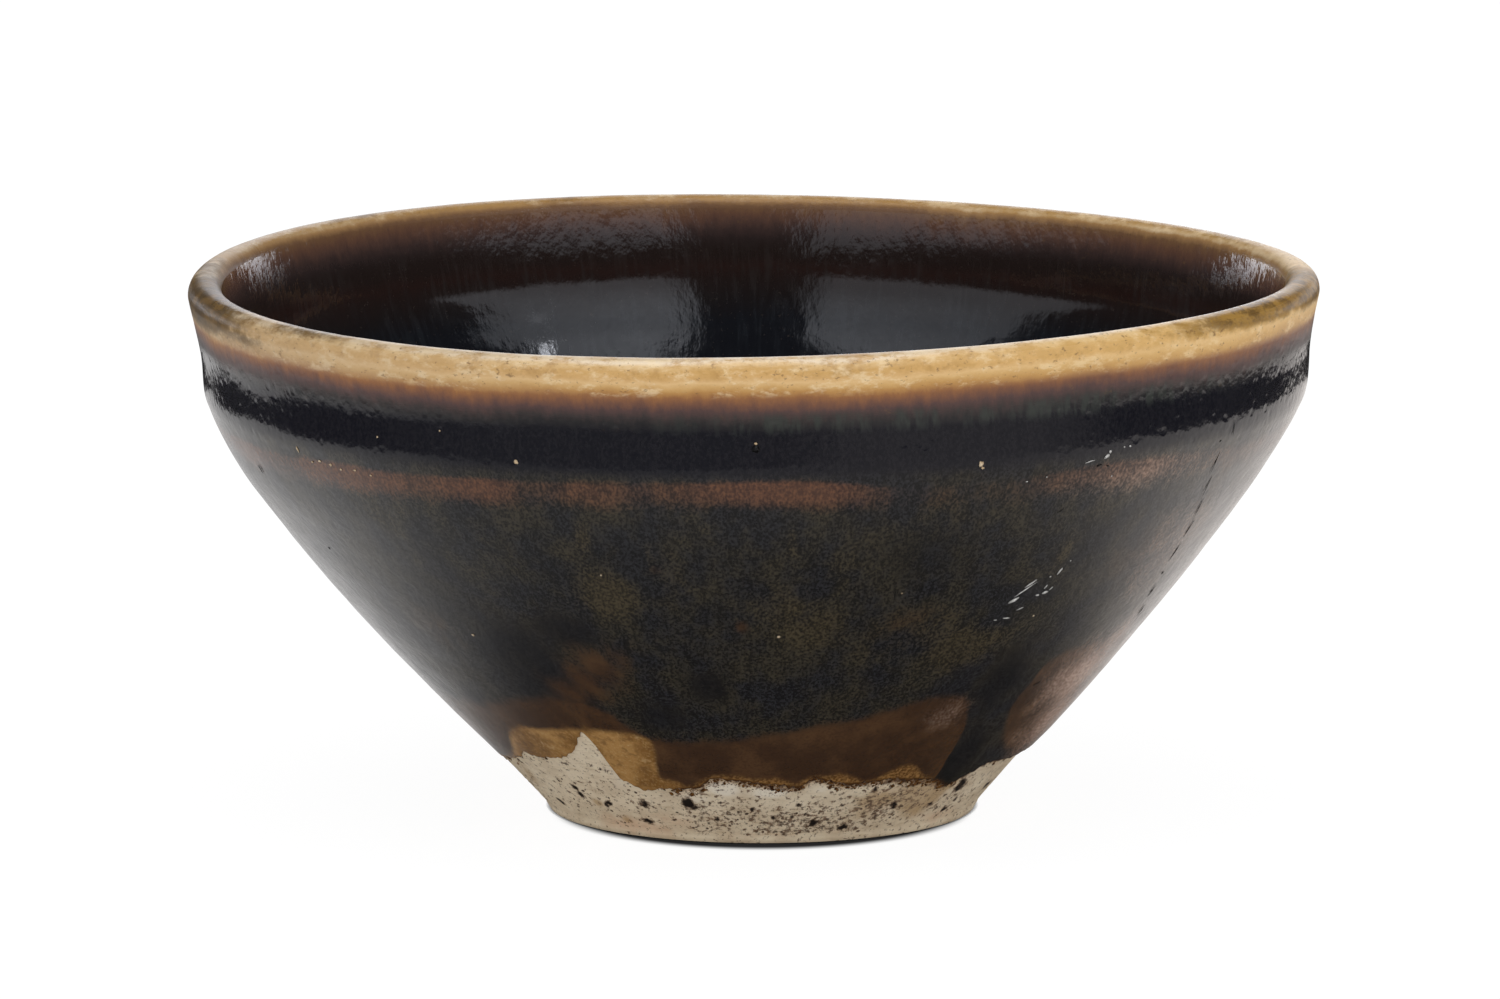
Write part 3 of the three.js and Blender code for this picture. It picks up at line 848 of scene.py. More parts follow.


# The glaze round the lip, by the height that a point has outside; past the crest the count goes on down the
# inside: thick and dark, rust where it thins, amber and cream, then brown again inside. The cream stops on
# the outside of the lip, from 54.95 to 57.3, are the glaze's own cream and also a painted highlight, paler
# than the glaze alone
LIP_COLOURS = [
    (49.9, (0.012, 0.0115, 0.0155)), (50.8, (0.024, 0.022, 0.023)), (51.4, (0.045, 0.034, 0.033)),
    (52.3, (0.1, 0.053, 0.047)), (53.1, (0.2, 0.085, 0.046)), (53.8, (0.31, 0.13, 0.044)),
    (54.4, (0.49, 0.25, 0.07)), (54.95, (0.65, 0.39, 0.14)), (55.4, (0.76, 0.5, 0.23)),
    (55.9, (0.68, 0.41, 0.155)), (56.5, (0.62, 0.37, 0.125)), (57, (0.73, 0.5, 0.24)),
    (57.3, (0.8, 0.65, 0.46)), (57.6, (0.66, 0.5, 0.31)), (57.9, (0.37, 0.21, 0.085)),
    (58.5, (0.19, 0.1, 0.05)), (59.4, (0.13, 0.065, 0.042)), (60.2, (0.085, 0.046, 0.036)),
    (61, (0.048, 0.029, 0.026)), (61.9, (0.029, 0.019, 0.018)), (63.4, (0.0165, 0.0105, 0.0095)),
]
LIP_FROM, LIP_TO = 49.5, 63.9


def lip_colour(bench, wall, rise):
    sideways, across, _ = bench.split(wall)
    right_share = bench.times(sideways, 20)
    slow = bench.noise(wall, 90, 2, 0.5)
    hanging = bench.noise(wall, 900, 5, 0.72, 0.42)
    mottle = bench.noise(wall, 480, 5, 0.7, 1.4)
    crest = bench.sum("ABSOLUTE", bench.less(rise, 57.5))
    running = bench.most(bench.step(crest, 2.6, 4.2), bench.step(rise, 58, 59.2))
    uneven = bench.times(bench.less(hanging, 0.5), bench.times(running, 2))
    still = bench.times(bench.step(crest, 0.1, 1, 0.2, 1.1), bench.less(1, running))
    uneven = bench.stray(mottle, still, uneven)
    uneven = bench.stray(slow, 1.4, bench.sum("ADD", uneven, rise))
    uneven = bench.less(uneven, bench.step(right_share, 0, 0.8, 0, 0.35))
    place = bench.node("ShaderNodeMapRange", {0: uneven, 1: LIP_FROM, 2: LIP_TO}).outputs[0]
    span = LIP_TO - LIP_FROM
    colour = bench.ramp(place, [((height - LIP_FROM) / span, tone) for height, tone in LIP_COLOURS])
    on_lip = bench.between(rise, 53.6, 54.6, 57.4, 58.4)
    upper = bench.times(bench.step(rise, 55.4, 56.4), on_lip)
    patches = bench.noise(wall, 420, 5, 0.72, 1.8)
    for value, low, high, where, strength, tone in (
        (mottle, 0.5, 0.66, upper, 0.6, (0.4, 0.21, 0.06)),
        (patches, 0.49, 0.62, upper, 0.7, (0.54, 0.31, 0.095)),
        (patches, 0.5, 0.33, on_lip, 0.6, (0.9, 0.71, 0.44)),
        (mottle, 0.42, 0.3, on_lip, 0.4, (0.88, 0.72, 0.5)),
        (right_share, 0, 1, on_lip, 0.4, (0.86, 0.55, 0.2)),
        (right_share, -0.1, -1, on_lip, 0.55, (0.45, 0.335, 0.215)),
    ):
        colour = bench.over(colour, tone, bench.step(value, low, high), where, strength)
    crown = bench.between(rise, 56.4, 57, 57.7, 58.2)
    far = bench.times(bench.step(across, 0, 0.025), bench.step(patches, 0.36, 0.56, 0.35, 1))
    colour = bench.over(colour, (0.37, 0.205, 0.06), far, crown, 0.75)
    olive = bench.stray(mottle, 1.3, bench.mark("lip_olive"))
    right = bench.step(right_share, -0.2, 0.2)
    brown = bench.mix(right, (0.065, 0.036, 0.011), (0.12, 0.062, 0.014))
    gold = bench.mix(right, (0.17, 0.098, 0.03), (0.36, 0.2, 0.042))
    gold = bench.blend(mottle, 0.42, 0.6, brown, gold)
    colour = bench.over(colour, gold, bench.step(olive, 0.15, 0.7), 0.92)
    specks = bench.noise(wall, 1500, 3, 0.7, 1.5)
    return bench.over(colour, (0.19, 0.1, 0.04), bench.step(specks, 0.59, 0.7), on_lip, 0.65)


# The glaze outside: pale where it ran thin off the lip, dark where it lies thick, amber at its foot
def outside_glaze(name):
    material, bench = new_finish(name)
    wall = bench.mark("wall", vector=True)
    rise = bench.mark("rise")
    bowl = bench.place()
    grains = bench.noise(bowl, 3300, 4, 0.62, 0.7)
    streaks = bench.noise(wall, 1100, 3, 0.6, 0.2)
    cloud = bench.noise(bowl, 210, 4, 0.6, 0.7)
    texture = bench.fade(0.22, grains, streaks)

    # The thick dark coat: blue-black with fine grey and olive flecks
    fleck = bench.step(texture, 0.42, 0.6)
    olive_share = bench.step(cloud, 0.36, 0.64)
    light = bench.mix(olive_share, (0.0275, 0.027, 0.03), (0.049, 0.0415, 0.029))
    flank = bench.mix(fleck, bench.mix(olive_share, (0.0105, 0.01, 0.0105), (0.018, 0.0155, 0.012)), light)
    band = bench.mix(fleck, (0.0075, 0.0075, 0.0115), (0.0135, 0.013, 0.017))
    dark = bench.blend(rise, 44.4, 46, flank, band)

    def zone(mark, wobble, low, high):
        here = bench.mark(mark)
        grainy = bench.stray(texture, wobble, bench.stray(cloud, wobble, here))
        return bench.times(bench.step(grainy, low, high), bench.step(here, 0, 0.1))

    olive = bench.mix(fleck, (0.028, 0.022, 0.013), (0.075, 0.058, 0.033))
    deep = bench.mix(fleck, (0.0065, 0.007, 0.009), (0.0125, 0.012, 0.013))
    rusty = bench.blend(texture, 0.4, 0.64, (0.08, 0.038, 0.026), (0.165, 0.072, 0.038))
    brownish = bench.blend(cloud, 0.36, 0.66, (0.06, 0.03, 0.015), (0.102, 0.051, 0.023))
    brownish = bench.lay(brownish, grains, 0.44, 0.64, 0.4, (0.033, 0.016, 0.009))
    # Pale thin glaze, which low on the front right also serves as a painted reflection
    thin = bench.blend(grains, 0.4, 0.64, (0.33, 0.2, 0.14), (0.56, 0.38, 0.29))
    for mark, wobble, low, high, strength, tone in (
        ("olive", 1, 0.15, 0.85, 0.75, olive), ("deep", 0.9, 0.1, 0.9, 0.8, deep),
        ("rust", 0.8, 0.05, 0.85, 0.85, rusty), ("brown", 0.8, 0.05, 0.9, 0.92, brownish),
        ("blush", 1, -0.1, 1.3, 0.92, thin),
    ):
        dark = bench.over(dark, tone, zone(mark, wobble, low, high), strength)

    # Amber where the lower coat is thin, darkened in a broken line along its foot
    honey = bench.blend(cloud, 0.38, 0.62, (0.44, 0.24, 0.08), (0.235, 0.115, 0.032))
    honey = bench.lay(honey, grains, 0.48, 0.66, 0.35, (0.58, 0.37, 0.155))
    blotched = bench.noise(bowl, 620, 4, 0.68)
    honey = bench.lay(honey, blotched, 0.48, 0.66, 0.6, (0.155, 0.078, 0.028))
    honey = bench.lay(honey, blotched, 0.42, 0.3, 0.45, (0.6, 0.42, 0.21))
    burnt = bench.blend(grains, 0.4, 0.62, (0.075, 0.03, 0.009), (0.34, 0.175, 0.055))
    honey = bench.over(honey, burnt, bench.mark("burnt"), 0.8)
    toned = bench.mix(zone("amber", 0.6, 0.1, 0.9), dark, honey)
    broken = bench.stray(grains, 1.8, bench.mark("edge"))
    toned = bench.lay(toned, broken, 0.35, 0.8, 0.85, (0.055, 0.022, 0.008))

    toned = bench.blend(rise, 49.8, 50.6, toned, lip_colour(bench, wall, rise))
    hung = bench.between(rise, 49.4, 50.8, 51.4, 52.6)
    drawn = bench.step(bench.fade(0.4, streaks, cloud), 0.46, 0.6, 0, 0.75)
    toned = bench.over(toned, (0.043, 0.049, 0.043), hung, drawn, bench.mark("green"))

    # Orange peel and dimples in the relief; the gloss is duller on the lip, above all at its ends
    waist = bench.between(rise, 42, 46, 51, 55)
    cells = bench.node("ShaderNodeTexVoronoi", {"Vector": bowl, "Scale": 700}).outputs["Distance"]
    uneven_lip = bench.times(bench.noise(bowl, 520, 4, 0.6), 2.4)
    peel = bench.fade(bench.step(rise, 56.8, 57.4), bench.noise(bowl, 950, 2, 0.5), uneven_lip)
    dimples = bench.times(bench.step(cells, 0.1, 0.42), waist)
    relief = bench.sum("MULTIPLY_ADD", dimples, 0.22, bench.times(peel, 0.45))
    relief = bench.sum("MULTIPLY_ADD", grains, bench.fade(waist, 0.3, 0.05), relief)
    gloss = bench.step(bench.noise(bowl, 500, 3, 0.6), 0.3, 0.8, 0.13, 0.22)
    sideways, across, _ = bench.split(wall)
    ends = bench.step(bench.sum("ABSOLUTE", sideways), 0.044, 0.056)
    dull = bench.times(ends, bench.between(rise, 53, 54.5, 58.4, 59.4))
    rusty_lip, crest = bench.step(rise, 50.6, 52.2), bench.step(rise, 56.6, 57.3)
    for share, level in ((waist, 0.115), (rusty_lip, 0.36), (crest, 0.22), (dull, 0.5)):
        gloss = bench.fade(share, gloss, level)
    far = bench.times(bench.step(across, 0, 0.03), bench.step(rise, 56.2, 57.2), 0.75)
    dull = bench.most(dull, far)
    surfaced(bench, toned, gloss, relief, 0.00009, bench.fade(dull, 0.5, 0.12))
    return material


def inside_glaze(name):
    material, bench = new_finish(name)
    wall = bench.mark("wall", vector=True)
    rise = bench.mark("rise")
    streaks = bench.noise(wall, 1500, 4, 0.65, 0.12)
    cloud = bench.noise(wall, 190, 4, 0.6)
    uneven = bench.stray(cloud, 2.4, bench.stray(streaks, 1.6, rise))
    place = bench.node("ShaderNodeMapRange", {0: uneven, 1: 61, 2: 81}).outputs[0]
    depth = bench.ramp(place, [
        (0.05, (0.019, 0.012, 0.0105)), (0.14, (0.018, 0.011, 0.0095)), (0.2, (0.023, 0.0115, 0.0095)),
        (0.27, (0.017, 0.0105, 0.0095)), (0.36, (0.0115, 0.0088, 0.009)), (0.48, (0.0078, 0.0085, 0.0115)),
        (0.8, (0.006, 0.0068, 0.0098)),
    ])
    fleck = bench.step(bench.fade(0.4, streaks, cloud), 0.48, 0.64)
    pale = bench.blend(rise, 66, 71, (0.032, 0.025, 0.0235), (0.019, 0.022, 0.027))
    colour = bench.over(depth, pale, fleck, bench.step(rise, 98, 80, 0.1, 0.5))
    colour = bench.blend(rise, 61.4, 63.4, lip_colour(bench, wall, rise), colour)
    grit = bench.noise(wall, 2600, 2, 0.6)
    colour = bench.lay(colour, grit, 0.64, 0.74, 0.35, (0.06, 0.048, 0.04))
    swell = bench.noise(wall, 420, 3, 0.55, 0.7)
    ridges = bench.times(bench.noise(wall, 900, 3, 0.6, 0.6), 0.6)
    strength = bench.times(bench.step(rise, 67, 60, 0.45, 1.35), bench.step(rise, 98, 76, 0.03, 1))
    relief = bench.times(bench.sum("ADD", swell, ridges), strength)
    gloss = bench.step(bench.noise(wall, 400, 3, 0.6), 0.3, 0.8, 0.07, 0.15)
    surfaced(bench, colour, gloss, relief, 0.00009)
    return material


def bare_clay(name):
    material, bench = new_finish(name)
    wall = bench.mark("wall", vector=True)
    bowl = bench.place()
    coarse = bench.noise(bowl, 260, 4, 0.6)
    fine = bench.noise(bowl, 1500, 4, 0.65)
    turned = bench.noise(bench.vector("MULTIPLY", wall, (0.12, 0.12, 1)), 2600, 3, 0.6)
    colour = bench.blend(coarse, 0.35, 0.7, (0.78, 0.67, 0.505), (0.64, 0.52, 0.37))
    colour = bench.over(colour, (0.5, 0.37, 0.22), bench.step(turned, 0.5, 0.7), 0.4)

    for mark, reach, low, high, strength, tone in (
        ("slip", 1.2, 0.2, 0.7, 0.8, (0.88, 0.81, 0.69)),
        ("pink", 1.2, 0.2, 0.9, 0.6, (0.74, 0.5, 0.34)),
        ("stain", 1.2, 0.15, 0.8, 0.6, (0.42, 0.25, 0.09)),
        ("halo", 0.9, 0.15, 0.9, 0.75, (0.36, 0.2, 0.07)),
    ):
        uneven = bench.stray(coarse, reach, bench.mark(mark))
        colour = bench.over(colour, tone, bench.step(uneven, low, high), strength)

    speckle = bench.noise(bowl, 1700, 4, 0.72)
    dirty = bench.sum("MULTIPLY_ADD", bench.mark("dirt"), 0.13, speckle)
    dirty = bench.sum("MULTIPLY_ADD", bench.mark("halo"), 0.16, dirty)
    dirt = bench.blend(fine, 0.4, 0.6, (0.05, 0.026, 0.016), (0.22, 0.13, 0.075))
    colour = bench.lay(colour, dirty, 0.565, 0.7, 0.9, dirt)
    ragged = bench.stray(speckle, 2.4, bench.mark("iron"))
    colour = bench.lay(colour, ragged, 0.12, 0.5, 0.75, (0.16, 0.085, 0.045))
    colour = bench.blend(ragged, 0.4, 0.75, colour, (0.02, 0.012, 0.009))
    relief = bench.sum("MULTIPLY_ADD", turned, 0.5, fine)
    surfaced(bench, colour, bench.fade(bench.step(ragged, 0.35, 0.6), 0.85, 0.45), relief, 0.00006)
    return material


def plain_finish(name, first, second, roughness):
    material, bench = new_finish(name)
    bowl = bench.place()
    tone = bench.step(bench.noise(bowl, 2500, 3, 0.6), 0.4, 0.62)
    surfaced(bench, bench.mix(tone, first, second), roughness, tone, 0.00003)
    return material


# Small flat marks that sit on the dark coat: (degrees, height, half width, half height, turn in degrees)
# Among these pale specks, the spot at (-89.7, 48.9), just above the crater, is a painted highlight: the
# crater's glint
PALE_SPECKS_AND_GLINT = [
    (-66.2, 45.7, 0.3, 0.36, 10), (-66, 45.3, 0.2, 0.16, 0), (-114.5, 46.3, 0.24, 0.26, 0),
    (-144, 44.5, 0.16, 0.42, 8), (-123, 49, 0.1, 0.11, 0), (-131, 47.5, 0.12, 0.12, 0),
    (-131, 24.6, 0.2, 0.16, 0), (-107.5, 33.7, 0.12, 0.12, 0), (-86.8, 26.6, 0.2, 0.2, 0),
    (-89.7, 48.9, 0.2, 0.15, 0), (-142, 43.4, 0.16, 0.12, 0), (-140.6, 43.7, 0.3, 0.16, 20),
    (-138.9, 43.5, 0.22, 0.2, 0), (-137.4, 43.2, 0.18, 0.12, 0), (-135.2, 43.4, 0.26, 0.13, 10),
    (-133, 43.1, 0.16, 0.12, 0), (-51.4, 27.1, 0.12, 0.12, 0), (-72, 31.4, 0.09, 0.1, 0),
]
WHITE_SCUFFS = [
    (-55.1, 30.45, 0.11, 1.7, -46), (-56, 29.35, 0.26, 0.7, -52), (-54.6, 31.15, 0.17, 0.8, -44),
    (-50.9, 32.25, 0.17, 0.5, -14), (-52, 31.75, 0.12, 0.13, 0), (-51.5, 29.85, 0.4, 0.22, 12),
    (-52.6, 29.65, 0.3, 0.16, -8), (-51.9, 30.55, 0.08, 0.34, -20), (-50.9, 30.25, 0.12, 0.3, -30),
    (-55.9, 27.25, 0.5, 0.12, -6), (-57.5, 27.15, 0.22, 0.07, 0), (-54.3, 28.25, 0.5, 0.04, 28),
    (-51.1, 45.2, 0.42, 0.22, 28), (-50.8, 45.6, 0.16, 0.2, 0), (-53.2, 44.9, 0.8, 0.06, 12),
    (-49, 45.9, 0.13, 0.1, 0), (-48.2, 45.9, 0.14, 0.11, 0), (-49.6, 42.9, 0.1, 0.1, 0),
    (-60.5, 43.4, 0.14, 0.08, 0), (-58.2, 43.7, 0.1, 0.08, 0), (-50, 33.4, 0.09, 0.09, 0),
]
# Dark hairline, cracks and scratches; the dark lenses of the crater at (-89.7, 48.3) and of the pits at
# (-156, 40.5) and (-151, 32.3) are painted shade, standing for the shade inside them
DARK_CRACKS_AND_PIT_SHADE = [
    (-89.7, 48.3, 0.5, 0.42, 0), (-32.4, 42.2, 0.05, 1.5, 3), (-26.8, 29.1, 0.1, 0.3, 0),
    (-25.7, 26.9, 0.05, 1, 10), (-23.6, 24.5, 0.06, 1.1, 16), (-31.2, 39.4, 0.06, 1.6, 8),
    (-30, 36.9, 0.06, 1.4, 12), (-28.8, 34.3, 0.07, 1.6, 8), (-27.9, 31.6, 0.05, 1.5, 4),
    (-31.5, 45.6, 0.07, 1, 5), (-33.4, 44.6, 0.2, 0.14, 0), (-51.8, 44.3, 0.4, 0.09, 14),
    (-50.6, 44.1, 0.25, 0.08, -20), (-41, 18, 0.7, 0.05, 25), (-35, 13.6, 0.6, 0.05, 30),
    (-156, 40.5, 0.12, 0.7, 4), (-151, 32.3, 0.14, 0.2, 0), (-54.8, 39.6, 0.5, 0.05, 32),
]


# One piece of many low lumps, each a closed lens that lies on the glaze
def lumps_on_glaze(name, places, rise_above, finish, seed):
    chance = np.random.default_rng(seed)
    sides, points, faces = 10, [], []
    for degrees, height, wide, tall, turn in places:
        radius, level, out, up = on_skin(flank_mark(height) if height < shoulder[1] else collar_mark(height))
        angle, tilt = np.radians(degrees), np.radians(turn)
        outward = np.array([out * np.cos(angle), out * np.sin(angle), up])
        sideways = np.array([-np.sin(angle), np.cos(angle), 0])
        upward = np.cross(outward, sideways)
        upward = upward if upward[2] > 0 else -upward
        centre = settle(radius + out * LUMP_FOOT, degrees, level + up * LUMP_FOOT)
        ring = np.linspace(0, 2 * np.pi, sides, endpoint=False)
        ragged = chance.uniform(0.72, 1.15, sides)
        across, along = wide * ragged * np.cos(ring), tall * ragged * np.sin(ring)
        cos, sin = np.cos(tilt), np.sin(tilt)
        across, along = across * cos - along * sin, across * sin + along * cos
        rim = centre + across[:, None] * sideways + along[:, None] * upward
        first = len(points)
        points += [*rim, centre + outward * rise_above, centre - outward * rise_above]
        for i in range(sides):
            j = (i + 1) % sides
            faces += [(first + i, first + j, first + sides), (first + j, first + i, first + sides + 1)]
    mesh = smooth_mesh(name, points, faces)
    mesh.materials.append(finish)
    shape = bmesh.new()
    shape.from_mesh(mesh)
    bmesh.ops.recalc_face_normals(shape, faces=shape.faces)
    shape.to_mesh(mesh)
    shape.free()
    return in_scene(bpy.data.objects.new(name, mesh))


def make_bowl():
    thrown, grains = thrown_surface(), scattered_grains()
    clay = dict(ring_spacing=0.0011, ring_depth=0.0001, swell_size=0.006, swell_depth=0.00016,
                grain_size=0.0007, grain_depth=0.00012, seed=1.0)
    glaze = dict(ring_spacing=0.0035, ring_depth=0.0001, swell_size=0.007, swell_depth=0.0001,
                 grain_size=0.0018, grain_depth=0.00003, seed=4.0)
    pieces = [
        (clay_bowl(), bare_clay("bare stoneware"), clay, "stoneware", "stoneware_body"),
        (amber_coat(), outside_glaze("amber glaze"), glaze, "amber_glaze", "lower_glaze"),
        (dark_coat(), outside_glaze("dark glaze"), glaze, "dark_glaze", "outer_glaze"),
        (rim_coat(), outside_glaze("pale rim glaze"), glaze, "pale_rim_glaze", "rim_glaze"),
        (inner_coat(), inside_glaze("inner dark glaze"), glaze, "inner_dark_glaze", "inner_glaze"),
    ]
    for piece, finish, marks, _, _ in pieces:
        work(piece, thrown, finish=finish, **marks)
    body = pieces[0][0]
    iron = plain_finish("iron grit", (0.075, 0.042, 0.026), (0.22, 0.135, 0.08), 0.6)
    crumb = plain_finish("glaze crumbs", (0.05, 0.02, 0.008), (0.2, 0.09, 0.025), 0.25)
    grit = strewn("iron_grit", body, grains, density=1.7e6, smallest=0.00003, largest=0.0002,
                  flatness=0.35, stretch=1.7, where="dirt", seed=3, finish=iron)
    crumbs = strewn("edge_crumbs", body, grains, density=2e7, smallest=0.00005, largest=0.00026,
                    flatness=0.5, stretch=1.6, where="halo", seed=8, finish=crumb)
    for piece, _, _, finish_slot, node in pieces:
        place_on_bowl(piece, finish_slot, node)
    place_on_bowl(grit, "stoneware")
    place_on_bowl(crumbs, "amber_glaze")
    cream = plain_finish("cream flecks and crater glint", (0.55, 0.4, 0.24), (0.72, 0.58, 0.4), 0.5)
    white = plain_finish("white scuffs", (0.5, 0.49, 0.47), (0.78, 0.77, 0.75), 0.6)
    crack_and_pit_shade = plain_finish("dark cracks and pit shade", (0.004, 0.004, 0.005), (0.008, 0.008, 0.009), 0.3)
    for name, places, rise_above, finish, seed in (
        ("pale_specks", PALE_SPECKS_AND_GLINT, 0.07, cream, 1), ("white_scuffs", WHITE_SCUFFS, 0.05, white, 2),
        ("dark_cracks", DARK_CRACKS_AND_PIT_SHADE, 0.04, crack_and_pit_shade, 3),
    ):
        place_on_bowl(lumps_on_glaze(name, places, rise_above, finish, seed), "dark_glaze")


# The studio: a white table, a pale sky, and what the glaze mirrors: the table near the bowl, the white
# backdrop behind it, two tall soft lights in front with a dark gap between them, and a light overhead. What
# the glaze mirrors of the table is painted: a painted shadow darkens it near the bowl and at the front, and
# painted light brightens and warms it at the sides and to the right
SKY = 0.72
SHADE_AT = (-0.008, 0.018, 0)
MIRRORED_TABLE_SHADOW = [
    (0, 0.03), (0.032, 0.06), (0.04, 0.16), (0.048, 0.3), (0.057, 0.5), (0.066, 0.62), (0.076, 0.74),
    (0.095, 0.88), (0.13, 0.82), (0.18, 0.8), (0.25, 0.8),
]
MIRRORED_LEVEL = 1.15
REACH_LEFT, REACH_RIGHT, REACH_FADE = (0.145, 0.193), (0.205, 0.281), 0.026
# A crescent painted dark on the table in front of the foot, as a painted contact shadow: its centre, and the
# distances over which it fades
PAINTED_SHADOW_AT, PAINTED_SHADOW_FROM, PAINTED_SHADOW_TO = (-0.0008, 0.0018, 0), 0.0228, 0.0254


def rays(bench):
    path = bench.node("ShaderNodeLightPath").outputs
    seen = bench.most(path["Is Camera Ray"], path["Is Transmission Ray"])
    return seen, path["Is Glossy Ray"]


# Degrees round from the front to the right, and the same to either side
def degrees_from_front(bench, x, y):
    turn = bench.sum("DEGREES", bench.sum("ARCTAN2", x, bench.times(y, -1)))
    return turn, bench.sum("ABSOLUTE", turn)


def make_table():
    material, bench = new_finish("white table")
    seen, glossy = rays(bench)
    place = bench.place()
    x, y, _ = bench.split(place)
    distance = bench.length(place)
    shaded = bench.length(bench.vector("ADD", place, SHADE_AT))
    # Painted shadow in what the glaze mirrors: the table is dark near the bowl, round a centre set off from
    # it, and lighter further out
    white = bench.ramp(bench.times(shaded, 4), [
        (reach * 4, (level,) * 3) for reach, level in MIRRORED_TABLE_SHADOW])
    turn, aside = degrees_from_front(bench, x, y)
    # Painted shade and light: darker at the front, brighter at the sides and to the right
    sides = bench.step(aside, 35, 95, 0.35 * MIRRORED_LEVEL, MIRRORED_LEVEL)
    white = bench.times(white, sides, bench.step(x, -0.12, 0.12, 0.83, 1.1))
    # Past the table's edge the mirror is dark, with painted light to the front right
    right_front = bench.between(turn, 5, 25, 55, 75)
    beyond = bench.sum("MULTIPLY_ADD", right_front, 0.2, bench.step(aside, 80, 40, 0.03, 0.12))
    left_reach = bench.step(aside, 92, 112, *REACH_LEFT)
    left_reach = bench.sum("ADD", left_reach, bench.step(aside, 130, 150, 0, 0.073))
    reach = bench.fade(bench.step(x, -0.05, 0.05), left_reach, bench.step(aside, 108, 146, *REACH_RIGHT))
    past = bench.step(bench.less(distance, reach), 0, REACH_FADE)
    mirrored = bench.fade(past, white, beyond)
    # Shade near the foot: ambient occlusion dims the table's glow, and in front of the foot a painted contact
    # shadow darkens it
    shadow_near_foot = bench.node("ShaderNodeAmbientOcclusion", {"Distance": 0.0004}, samples=4).outputs["AO"]
    under = bench.vector("MULTIPLY", bench.vector("ADD", place, PAINTED_SHADOW_AT), (1.09, 1, 1))
    painted_shadow = bench.step(bench.length(under), PAINTED_SHADOW_FROM, PAINTED_SHADOW_TO, 0.02, 1)
    shadow_near_foot = bench.times(shadow_near_foot, bench.fade(bench.step(y, -0.004, -0.012), 1, painted_shadow))
    white_seen = bench.scale((0.12,) * 3, shadow_near_foot)
    paper = bench.node("ShaderNodeBsdfDiffuse", {0: bench.mix(seen, (0.95,) * 3, white_seen)})
    glow = bench.node("ShaderNodeEmission", {0: (1, 1, 1), 1: bench.times(seen, shadow_near_foot, 0.93)})
    lit = bench.node("ShaderNodeAddShader", {0: paper.outputs[0], 1: glow.outputs[0]})
    # Painted warm light: the mirrored table is warmer to the right
    warm_light_on_right = bench.blend(x, -0.04, 0.06, (1, 0.985, 0.98), (1, 0.94, 0.9))
    mirror = bench.node("ShaderNodeEmission", {0: warm_light_on_right, 1: mirrored})
    both = bench.node("ShaderNodeMixShader", {0: glossy, 1: lit.outputs[0], 2: mirror.outputs[0]})
    bench.node("ShaderNodeOutputMaterial", {0: both.outputs[0]})
    mesh = bpy.data.meshes.new("table")
    mesh.from_pydata([(-6, -6, 0), (6, -6, 0), (6, 6, 0), (-6, 6, 0)], [], [(0, 1, 2, 3)])
    mesh.materials.append(material)
    table = in_scene(bpy.data.objects.new("table", mesh))


# The small bright spot that the glaze mirrors: its direction, and its fade from and to, in degrees
SPARK = (0.666, -0.339, 0.664)
SPARK_REACH = (2.2, 1.0)
CAMERA_DISTANCE, CAMERA_ELEVATION, CAMERA_LENS, CAMERA_AIM = 1.3, 9.3, 291.1, (-0.0005, 0, 0.03312)


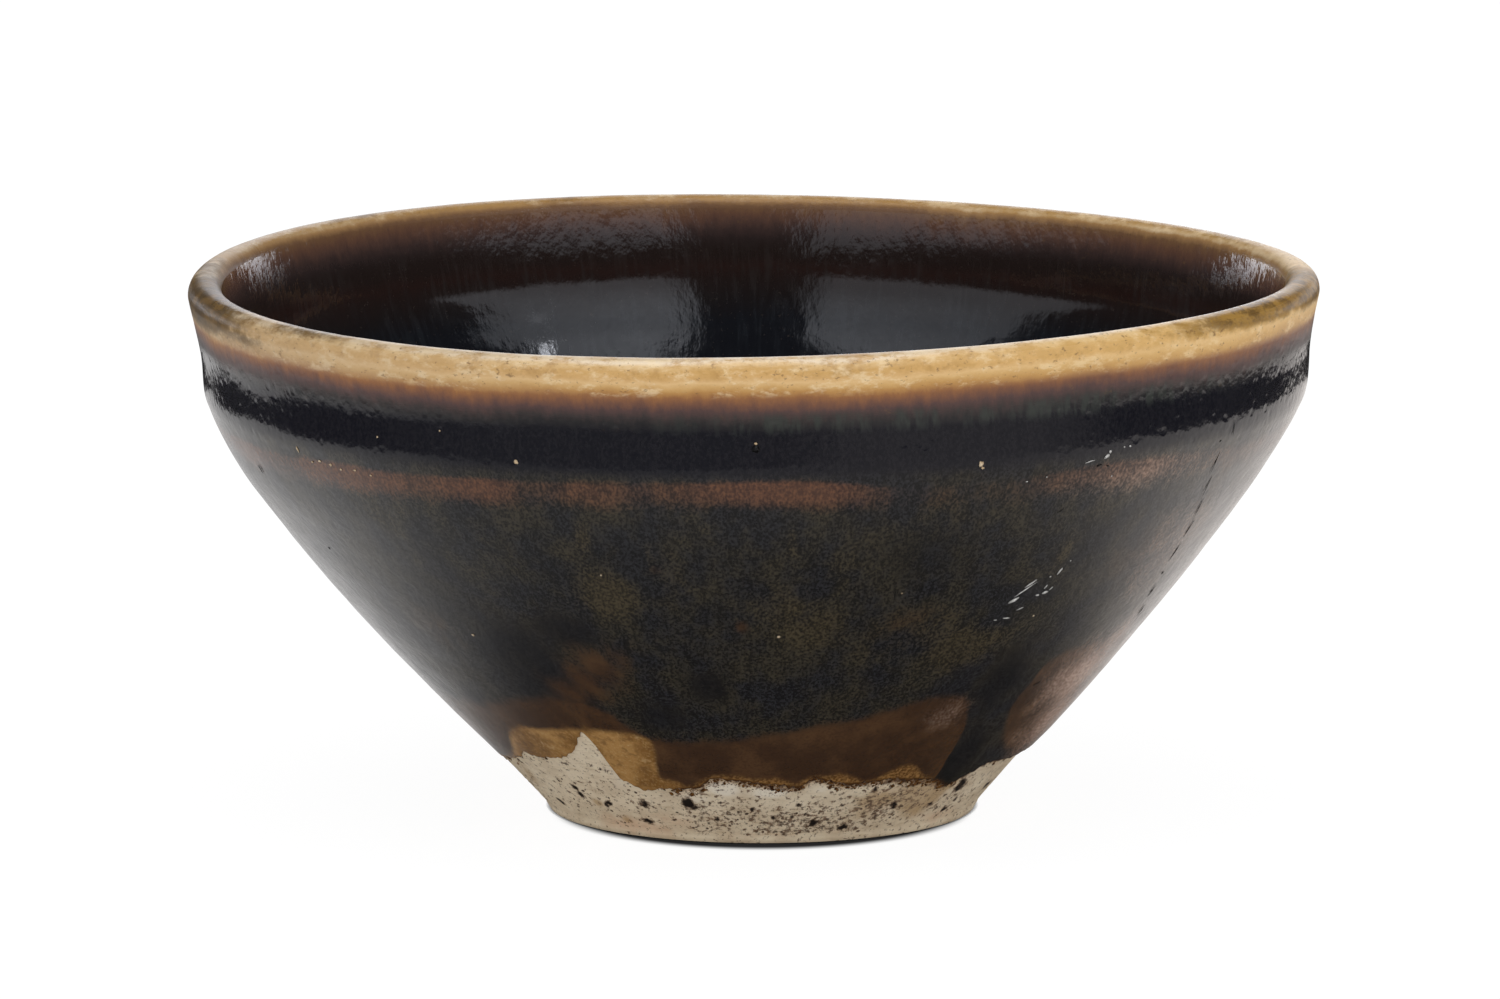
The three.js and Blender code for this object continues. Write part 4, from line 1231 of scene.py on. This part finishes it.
def make_sky():
    world = bpy.data.worlds.new("studio")
    world.use_nodes = True
    bpy.context.scene.world = world
    bench = Bench(world.node_tree)
    seen, glossy = rays(bench)
    direction = bench.node("ShaderNodeTexCoord").outputs["Generated"]
    x, y, z = bench.split(direction)
    turn, aside = degrees_from_front(bench, x, y)
    lift = bench.sum("DEGREES", bench.sum("ARCSINE", z))
    right = bench.between(turn, 13, 21, 84, 98)
    turned_left = bench.times(turn, -1)
    left = bench.times(bench.between(turned_left, 13, 21, 72, 118), 0.85)
    corner = bench.sum("DIVIDE", bench.less(aside, 35), 35)
    rounded = bench.sum("MULTIPLY_ADD", bench.times(corner, corner), 13, lift)
    rounded = bench.stray(bench.noise(direction, 26, 4, 0.7), 9, rounded)
    start = bench.step(turn, -10, 10, 13.5, 20.5)
    tall = bench.times(bench.step(bench.less(lift, start), 0, 6.5), bench.step(rounded, 53, 50))
    lamps = bench.times(bench.most(right, left), tall, bench.step(lift, 28, 60, 0.8, 2))
    wide = bench.most(bench.step(turn, 126, 138), bench.between(turned_left, 118, 132, 153, 159))
    behind = bench.times(wide, bench.step(lift, 6.5, 2.5), bench.step(lift, -0.5, 1), 3)
    facing = bench.most(bench.step(turn, 158, 168), bench.step(turn, -168, -173))
    behind = bench.most(behind, bench.times(facing, bench.between(lift, -1, 2, 40, 60), 1.1))
    above = bench.times(bench.step(lift, 63, 71), 2.3)
    spark = bench.node("ShaderNodeVectorMath", {0: direction, 1: SPARK}, operation="DOT_PRODUCT")
    outer, inner = math.cos(math.radians(SPARK_REACH[0])), math.cos(math.radians(SPARK_REACH[1]))
    spark = bench.step(spark.outputs["Value"], outer, inner, 0, 32)
    mirrored = bench.most(lamps, behind, above, spark, 0.02)
    strength = bench.fade(seen, bench.fade(glossy, SKY, mirrored), 1)
    cool = bench.mix(glossy, (1, 1, 1), (0.95, 0.98, 1.06))
    sky = bench.node("ShaderNodeBackground", {0: bench.mix(seen, cool, (1, 1, 1)), 1: strength})
    bench.node("ShaderNodeOutputWorld", {0: sky.outputs[0]})


def towards(azimuth, elevation):
    a, e = math.radians(azimuth), math.radians(elevation)
    return (math.sin(a) * math.cos(e), -math.cos(a) * math.cos(e), math.sin(e))


def aimed(thing, place, target):
    away = Vector(place) - Vector(target)
    thing.location, thing.rotation_mode = place, "QUATERNION"
    thing.rotation_quaternion = away.to_track_quat("Z", "Y")
    return in_scene(thing)


# Soft lamps light the bowl; what the glaze mirrors of them is in the sky
def soft_lamp(name, azimuth, elevation, distance, width, height, brightness):
    place = [distance * part for part in towards(azimuth, elevation)]
    lamp = bpy.data.lights.new(name, "AREA")
    lamp.shape, lamp.size, lamp.size_y = "RECTANGLE", width, height
    lamp.energy = brightness * math.pi * width * height
    aimed(bpy.data.objects.new(name, lamp), place, (0, 0, 0.04)).visible_glossy = False


def make_camera():
    camera = bpy.data.cameras.new("camera")
    camera.lens, camera.sensor_width = CAMERA_LENS, 36
    camera.clip_start, camera.clip_end = 0.05, 50
    place = [at + CAMERA_DISTANCE * part for at, part in zip(CAMERA_AIM, towards(0, CAMERA_ELEVATION))]
    bpy.context.scene.camera = aimed(bpy.data.objects.new("camera", camera), place, CAMERA_AIM)


make_bowl()
make_table()
make_sky()
soft_lamp("left lamp", -46, 45, 1.2, 1.35, 0.72, 0.85)
soft_lamp("right lamp", 50, 45, 1.2, 1.5, 0.72, 0.85)
make_camera()

bpy.context.scene.view_settings.view_transform = "Standard"
